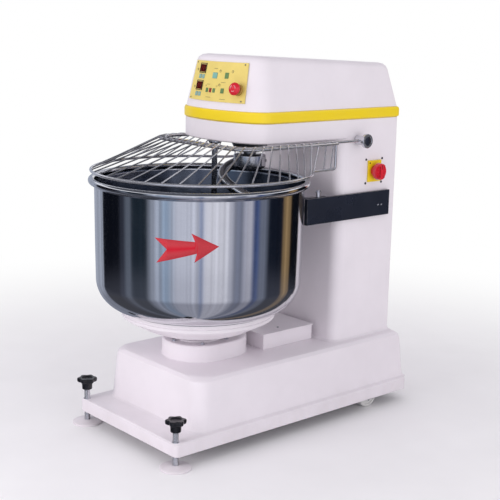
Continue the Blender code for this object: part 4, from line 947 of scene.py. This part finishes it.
def emergency_stop():
    """The mushroom button with its release arrows, and its collar."""
    place = panel_place(ESTOP_X, ESTOP_Z)
    collar = [(0.0095, 0.010), (0.0190, 0.010), (0.0215, 0.008), (0.0215, 0.0005), (0.0095, 0.0005)]
    ring = turned("stop_collar", rounded(collar, 0.001), place, steps=64, closed=True)
    finish_piece(ring, "root", "band_yellow", "e_stop_collar", material=OCHRE, sharp=40)
    cap = [(0, 0.0395), (0.011, 0.0385), (0.020, 0.0345), (0.0245, 0.0285), (0.0235, 0.0235), (0.016, 0.0183)]
    cap += [(0.0063, 0.0183), (0.0063, 0.0288), (0, 0.0288)]

    def ribbed(turn, reach, level):
        return 0.0003 * math.cos(24 * turn) if 0.0225 < reach and level < 0.0295 else 0.0

    head = turned("stop_cap", rounded(cap, 0.003, 5), place, steps=144, lobe=ribbed)
    finish_piece(head, "e_stop_head", "red", "e_stop_cap", sharp=40)
    arrows = []
    for i in range(3):
        start = 120 * i
        path = [place @ Vector((x, y, 0.0384)) for x, y in arc(0, 0, 0.0112, start, start + 70, 10)]
        arrows.append(tube(f"release_{i}", path, 0.0007, 6))
    finish_piece(merged("release_arrows", arrows), "e_stop_head", "roller_white")
    refined("e_stop_stem", 0.0003)


# ---------------------------------------------------------------- main switch, arms, rollers

def main_switch():
    """The rotary switch: its plate, its grip with a pointer, and the screws round it."""
    refined("main_switch_plate", 0.0016, 3)
    refined("main_switch_knob", 0.0016, 3)
    end = SWITCH_FACE + SWITCH_KNOB_DEPTH
    low = (end - 0.0030, SWITCH_Y - 0.0016, SWITCH_Z + 0.010)
    high = (end + 0.0004, SWITCH_Y + 0.0016, SWITCH_Z + 0.028)
    mark = eased_box("switch_pointer", low, high, 0.0003)
    finish_piece(mark, BODY_OF["main_switch_knob"], "black_plastic")
    screws = []
    for dy in (-0.0475, 0.0475):
        for dz in (-0.0485, 0.0485):
            place = (HEAD_HALF, SWITCH_Y + dy, SWITCH_Z + dz)
            screws.append(socket_screw("side_screw", place, (1, 0, 0), 0.0048, 0.0030))
    for dy, dz in ((-0.030, 0.034), (0.030, -0.034)):
        place = (SWITCH_FACE, SWITCH_Y + dy, SWITCH_Z + dz)
        screws.append(socket_screw("plate_screw", place, (1, 0, 0), 0.0030, 0.0020))
    finish_piece(merged("switch_screws", screws), "root", "black_plastic", sharp=25)


def side_arms():
    """The folded arms beside the bowl with their bolts, and the guide rollers on their levers."""
    for name, side in SIDES:
        refined("side_arm_" + name, 0.0006)
        nut = hex_head("arm_nut_" + name, (side * STUD_X, STUD_Y, 0.9395), (0, 0, 1), 0.0095, 0.007)
        finish_piece(nut, "root", "chrome", sharp=25)
        places = [(side * ARM_X, BOWL_Y + y, 0.862) for y in (0.755, 0.735)]
        screw_set("arm_screws_" + name, "root", "chrome", places, (side, 0, 0), 0.0042, 0.0025)
        refined("roller_lever_" + name, 0.0006)
        mid = (ROLLER_Z0 + ROLLER_Z1) / 2
        profile = [(0.0082, ROLLER_Z1), (ROLLER_R - 0.004, ROLLER_Z1), (ROLLER_R, ROLLER_Z1 - 0.004)]
        profile += [(ROLLER_R, mid + 0.002), (ROLLER_R - 0.001, mid), (ROLLER_R, mid - 0.002)]
        profile += [(ROLLER_R, ROLLER_Z0 + 0.004), (ROLLER_R - 0.004, ROLLER_Z0), (0.0082, ROLLER_Z0)]
        place = (side * ROLLER_X, ROLLER_Y, 0)
        roller = turned("roller_tyre_" + name, rounded(profile, 0.0015), place, steps=72, closed=True)
        node = "guide_roller_" + name
        finish_piece(roller, BODY_OF[node], "roller_white", node, sharp=40)


# ---------------------------------------------------------------- feet and wheels

def feet():
    """The levelling feet: a pad, a real thread, a lobed knob, and a bush in the plinth."""
    for name, side in SIDES:
        place = (side * FOOT_X, FOOT_Y, 0)
        r = FOOT_SCREW_R
        pad = [
            (0, 0.0050), (r + 0.0004, 0.0050), (r + 0.0004, 0.0145), (r + 0.006, 0.0140),
            (PAD_R - 0.004, 0.0080), (PAD_R, 0.0055), (PAD_R, 0.001), (PAD_R - 0.001, 0), (0, 0),
        ]
        piece = turned("foot_pad_skin_" + name, pad, place, steps=96, ease=0.0012)
        node = "foot_pad_" + name
        finish_piece(piece, BODY_OF[node], "body_white", node, sharp=40)
        node = "foot_screw_" + name
        rod = thread("foot_thread_" + name, place, r, 0.0053, FOOT_SCREW_TOP, 0.0025, 0.0009)
        finish_piece(rod, BODY_OF[node], "chrome", node, sharp=60)
        node = "foot_knob_" + name

        z = FOOT_KNOB_Z

        def lobe(turn, radius, height, z=z):
            if height < z + 0.029 or radius < 0.028:
                return 0.0
            return 0.0036 * math.cos(6 * turn)

        top = z + 0.047
        grip = [(r + 0.0004, z), (0.0195, z), (0.0210, z + 0.028), (0.0325, z + 0.030), (0.0350, z + 0.033)]
        grip += [(0.0360, z + 0.043), (0.0335, top), (0.0215, top), (0.0195, top - 0.005)]
        grip += [(r + 0.0004, top - 0.006), (0.0085, top - 0.0062), (0, top - 0.0062)]
        knob = turned("foot_grip_" + name, rounded(grip, 0.0025, 4), place, steps=96, lobe=lobe)
        finish_piece(knob, BODY_OF[node], "black_plastic", node, sharp=50)
        sleeve = [(r + 0.0003, PLINTH_TOP), (r + 0.0032, PLINTH_TOP), (r + 0.0028, PLINTH_TOP + 0.0022)]
        sleeve += [(r + 0.0003, PLINTH_TOP + 0.0024)]
        collar = turned("foot_bush_" + name, sleeve, place, steps=64, closed=True)
        finish_piece(collar, "root", "chrome", sharp=40)


def wheels():
    """The rear wheels with their dished sides and hub screws, and the axle."""
    refined("rear_axle", 0.0008)
    for name, side in SIDES:
        turn = "X" if side > 0 else "-X"
        r = WHEEL_R
        bore = 0.0083
        half = [(bore, 0.002), (0.016, 0.002), (0.017, 0.006), (r - 0.013, 0.006)]
        half += [(r - 0.012, 0), (r - 0.006, 0), (r, 0.005)]
        profile = [(reach, WHEEL_X1 - inset) for reach, inset in half]
        profile += [(reach, WHEEL_X0 + inset) for reach, inset in half[::-1]]
        middle = (0, WHEEL_Y, WHEEL_R)
        wheel = turned("wheel_" + name, rounded(profile, 0.0012), middle, turn, 96, closed=True)
        node = "rear_wheel_" + name
        finish_piece(wheel, BODY_OF[node], "roller_white", node, sharp=40)
        places = []
        for i in range(5):
            a = 2 * math.pi * i / 5
            across, up = HUB_SCREW_R * math.cos(a), HUB_SCREW_R * math.sin(a)
            places.append((side * (WHEEL_X1 - 0.006), WHEEL_Y + across, WHEEL_R + up))
        screw_set("hub_screws_" + name, BODY_OF[node], "steel", places, (side, 0, 0), 0.0032, 0.002)


# ---------------------------------------------------------------- casings and what they hold

def casings():
    """The painted shells, smooth and with eased edges, and their fasteners and louvres."""
    refined("base_shell", 0.0015, 3, 30)
    refined("base_top_plate", 0.0010)
    refined("column_shell", 0.0012, 2, 45)
    refined("trim_band", 0.0010, 2, 50)
    refined("hood", 0.0010, 2, 50)
    refined("column_rear_panel", 0.0006)
    refined("cable_gland", 0.0006)
    places = [(x, BOWL_Y + 0.332, 0.3715) for x in (0.103, -0.103)]
    screw_set("cover_screws", "root", "steel", places, (0, 0, 1), 0.005, 0.003)
    face = COLUMN_REAR + 0.0023
    places = [(x, face, z) for x in (-0.203, 0.0, 0.203) for z in (0.412, 0.76, 1.108) if x or z != 0.76]
    screw_set("rear_panel_screws", "root", "chrome", places, (0, 1, 0), 0.0045, 0.003)
    lips = []
    for side in (-1, 1):
        for row in range(5):
            z = 0.508 + 0.03 * row
            rings = []
            for i in range(9):
                x = side * 0.09 - 0.06 + 0.12 * i / 8
                bulge = math.sin(math.pi * i / 8) ** 0.5
                flat = [(0, 0.0), (0.006 * bulge, -0.007), (0.0052 * bulge, -0.0075), (-0.0004, -0.0005)]
                rings.append([(x, face + a, z + b) for a, b in flat])
            lips.append(skin("louvre", rings))
    finish_piece(merged("louvre_lips", lips), "root", "body_white")


# Each motor's place along the machine, the heights its fins run between and its body's radius
MOTOR_FINS = {
    "spiral_motor": (BOWL_Y + 0.700, 0.770, 1.060, 0.0795),
    "bowl_motor": (BOWL_Y + 0.680, 0.215, 0.345, 0.0745),
}
PLAIN_NODES = (
    "spiral_motor_pulley", "bowl_motor_pulley", "spiral_pulley", "bowl_pulley", "bowl_shaft", "spiral_shaft",
    "spiral_belt", "bowl_belt", "guard_shaft", "spiral_bearing_housing", "electrical_box",
)


def machinery():
    """What the casings hold: motors with their fins, pulleys, belts, shafts, bearings and the electrics."""
    for node, (y, low, high, radius) in MOTOR_FINS.items():
        refined(node, 0.0008)
        ribs = []
        count = 30
        for i in range(count):
            a = 2 * math.pi * i / count
            matrix = Matrix.Translation((0, y, 0)) @ Matrix.Rotation(a, 4, "Z")
            inner, outer = (radius - 0.002, -0.0011, low), (radius + 0.007, 0.0011, high)
            ribs.append(eased_box("rib", inner, outer, 0.0004, matrix))
        finish_piece(merged(node + "_fins", ribs), "root", "cast")
    for node in PLAIN_NODES:
        refined(node, 0.0006)


# ---------------------------------------------------------------- studio and camera

FLOOR_Z = -0.0002


def floor():
    """A pale floor round the mixer that fades into the white of the studio."""
    turns = [a * math.pi / 32 for a in range(64)]
    rings = [[(r * math.cos(a), r * math.sin(a), FLOOR_Z) for a in turns] for r in (9.0, 4.0, 2.0, 0.001)]
    piece = skin("floor", rings, caps=False)
    bpy.context.scene.collection.objects.link(piece)
    g = Finish("pale_floor")
    tone = g.mix(g.spread(g.noise(3.0), 0.3, 0.7), (0.90, 0.89, 0.90), (0.93, 0.92, 0.93))
    g.set(Base_Color=tone, Roughness=0.7)
    glow = g.node("ShaderNodeEmission")
    glow.inputs["Color"].default_value = (1, 1, 1, 1)
    length = g.node("ShaderNodeVectorMath", operation="LENGTH")
    g.feed(length.inputs[0], g.where)
    blend = g.node("ShaderNodeMixShader")
    g.feed(blend.inputs[0], g.spread(length.outputs["Value"], 0.9, 3.2, smooth=True))
    g.feed(blend.inputs[1], g.shader.outputs[0])
    g.feed(blend.inputs[2], glow.outputs[0])
    out = g.tree.nodes["Material Output"]
    g.feed(out.inputs["Surface"], blend.outputs[0])
    piece.data.materials.append(g.material)
    piece.visible_glossy = False


# The softboxes, flags and dark doorways round the studio: the azimuth in degrees where each begins, its tone,
# and how softly it begins
SURROUND = (
    (-218, (0.36, 0.39, 0.47), 1), (-168, (0.004, 0.005, 0.009), 1.5), (-134, (0.03, 0.034, 0.05), 3),
    (-126, (0.12, 0.14, 0.18), 2), (-117, (0.012, 0.02, 0.03), 2), (-93, (0.42, 0.46, 0.56), 5),
    (-80, (0.30, 0.39, 0.52), 4), (-68, (0.60, 0.62, 0.72), 5), (-38.5, (0.22, 0.27, 0.42), 1.5),
    (-34, (0.74, 0.74, 0.82), 2.5), (-4, (0.20, 0.22, 0.30), 6), (11, (0.50, 0.50, 0.58), 5),
    (21, (0.05, 0.08, 0.20), 2), (29, (0.16, 0.18, 0.24), 2), (40, (0.006, 0.009, 0.018), 3),
    (65, (0.30, 0.20, 0.10), 2),
)
SURROUND_START = -218.5

# As parts of a turn from there: where the rear doorway opens and ends, and the bright strip after it
DOORWAY = ((0.818, 0.832), (0.930, 0.918))
DOORWAY_TONE = (0.003, 0.004, 0.007)
STRIP = (0.922, 0.928)
STRIP_TONE = (0.80, 0.80, 0.84)
STREAKS = 90.0

# As the height of the direction looked in: where the bands fade low down, where the light bench stands in
# front of them, and where the softboxes overhead and the ceiling begin
LOW_FADE = (-0.30, -0.46)
BENCH = ((-0.46, -0.34), (-0.235, -0.28))
OVERHEAD = (0.30, 0.38)
OVERHEAD_TONE = (1.0, 1.0, 1.06)
CEILING = (0.48, 0.58)
CEILING_TONE = (0.10, 0.105, 0.125)
ROOM_TONE = (0.80, 0.785, 0.82)


def studio():
    """A white studio. Mirror-like surfaces see its softboxes and its dark doorways as upright bands."""
    world = bpy.data.worlds.new("studio")
    bpy.context.scene.world = world
    world.use_nodes = True
    g = Graph(world.node_tree)

    def ease(value, low, high):
        return g.spread(value, low, high, smooth=True)

    def within(value, rise, fall):
        """1 between two soft limits and 0 beyond them."""
        return g.math("MULTIPLY", ease(value, *rise), ease(value, *fall))

    toward = g.axes(g.node("ShaderNodeTexCoord").outputs["Generated"])
    height = toward["Z"]
    azimuth = g.math("ARCTAN2", toward["Y"], toward["X"])
    part = g.math("FRACT", g.math("MULTIPLY_ADD", azimuth, 0.5 / math.pi, -SURROUND_START / 360))
    ramp = g.node("ShaderNodeValToRGB")
    g.feed(ramp.inputs[0], part)
    elements = ramp.color_ramp.elements
    previous = SURROUND[0][1]
    elements[0].position = 0.0
    elements[0].color = (*previous, 1)
    elements.remove(elements[1])
    for start, tone, soft in SURROUND[1:]:
        for angle, colour in ((start - soft, previous), (start + soft, tone)):
            element = elements.new((angle - SURROUND_START) / 360)
            element.color = (*colour, 1)
        previous = tone
    bands = g.mix(within(part, *DOORWAY), ramp.outputs[0], DOORWAY_TONE)
    bands = g.mix(ease(part, *STRIP), bands, STRIP_TONE)
    streaks = g.node("ShaderNodeTexNoise", noise_dimensions="2D")
    streaks.inputs["Scale"].default_value = 1.0
    streaks.inputs["Detail"].default_value = 5.0
    across = g.node("ShaderNodeCombineXYZ")
    g.feed(across.inputs[0], g.math("MULTIPLY", part, STREAKS))
    g.feed(streaks.inputs["Vector"], across.outputs[0])
    bands = g.vector_math("MULTIPLY", bands, g.spread(streaks.outputs["Fac"], 0.3, 0.7, 0.74, 1.42))
    faded = g.vector_math("MULTIPLY_ADD", bands, (0.42, 0.42, 0.44), (0.065, 0.066, 0.078))
    bands = g.mix(ease(height, *LOW_FADE), bands, faded)
    bench = g.vector_math("MULTIPLY_ADD", bands, (0.78, 0.78, 0.78), (0.045, 0.047, 0.06))
    bands = g.mix(within(height, *BENCH), bands, bench)
    bands = g.mix(ease(height, *OVERHEAD), bands, OVERHEAD_TONE)
    bands = g.mix(ease(height, *CEILING), bands, CEILING_TONE)
    rays = g.node("ShaderNodeLightPath").outputs
    colour = g.mix(rays["Is Glossy Ray"], ROOM_TONE, bands)
    g.feed(g.tree.nodes["Background"].inputs["Color"], g.mix(rays["Is Camera Ray"], colour, (1.0, 1.0, 1.0)))


AIM = (0, 0, 0.7)
LIGHT_SIZE = 2.6


def light(name, place, power, tone):
    """A square softbox aimed at the middle of the machine."""
    lamp = bpy.data.lights.new(name, "AREA")
    lamp.size = LIGHT_SIZE
    lamp.energy = power
    lamp.color = tone
    made = bpy.data.objects.new(name, lamp)
    bpy.context.scene.collection.objects.link(made)
    made.location = place
    made.rotation_euler = (Vector(AIM) - Vector(place)).to_track_quat("-Z", "Y").to_euler()
    made.visible_glossy = False


def look_along(yaw, pitch, roll, place):
    """The camera's matrix from its heading, its tilt down and its roll, in degrees."""
    yaw, pitch, roll = math.radians(yaw), math.radians(pitch), math.radians(roll)
    ahead = Vector((-math.sin(yaw) * math.cos(pitch), math.cos(yaw) * math.cos(pitch), -math.sin(pitch)))
    level = Vector((math.cos(yaw), math.sin(yaw), 0))
    above = level.cross(ahead)
    right = level * math.cos(roll) + above * math.sin(roll)
    up = above * math.cos(roll) - level * math.sin(roll)
    rows = [[right[i], up[i], -ahead[i], place[i]] for i in range(3)]
    return Matrix(rows + [[0, 0, 0, 1]])


CAMERA_TURN = (48.6764, 12.0101, 1.2752)
CAMERA_PLACE = (3.182, BOWL_Y - 2.5351, 1.5861)
CAMERA_LENS = 77.07


def camera():
    """The camera, a little above the machine and in front of its right side."""
    made = bpy.data.objects.new("camera", bpy.data.cameras.new("camera"))
    bpy.context.scene.collection.objects.link(made)
    made.matrix_world = look_along(*CAMERA_TURN, CAMERA_PLACE)
    made.data.sensor_width = 36
    made.data.lens = CAMERA_LENS
    made.data.clip_end = 60
    bpy.context.scene.camera = made


camera()
studio()
floor()
light("key", (-0.4, -4.3, 1.7), 76, (1.0, 0.98, 1.0))
light("fill", (4.4, -0.2, 1.3), 36, (0.98, 0.98, 1.0))
bowl()
pan()
pedestal()
spiral()
guard()
control_panel()
emergency_stop()
main_switch()
side_arms()
feet()
wheels()
casings()
machinery()
bpy.context.scene.view_settings.view_transform = "Standard"
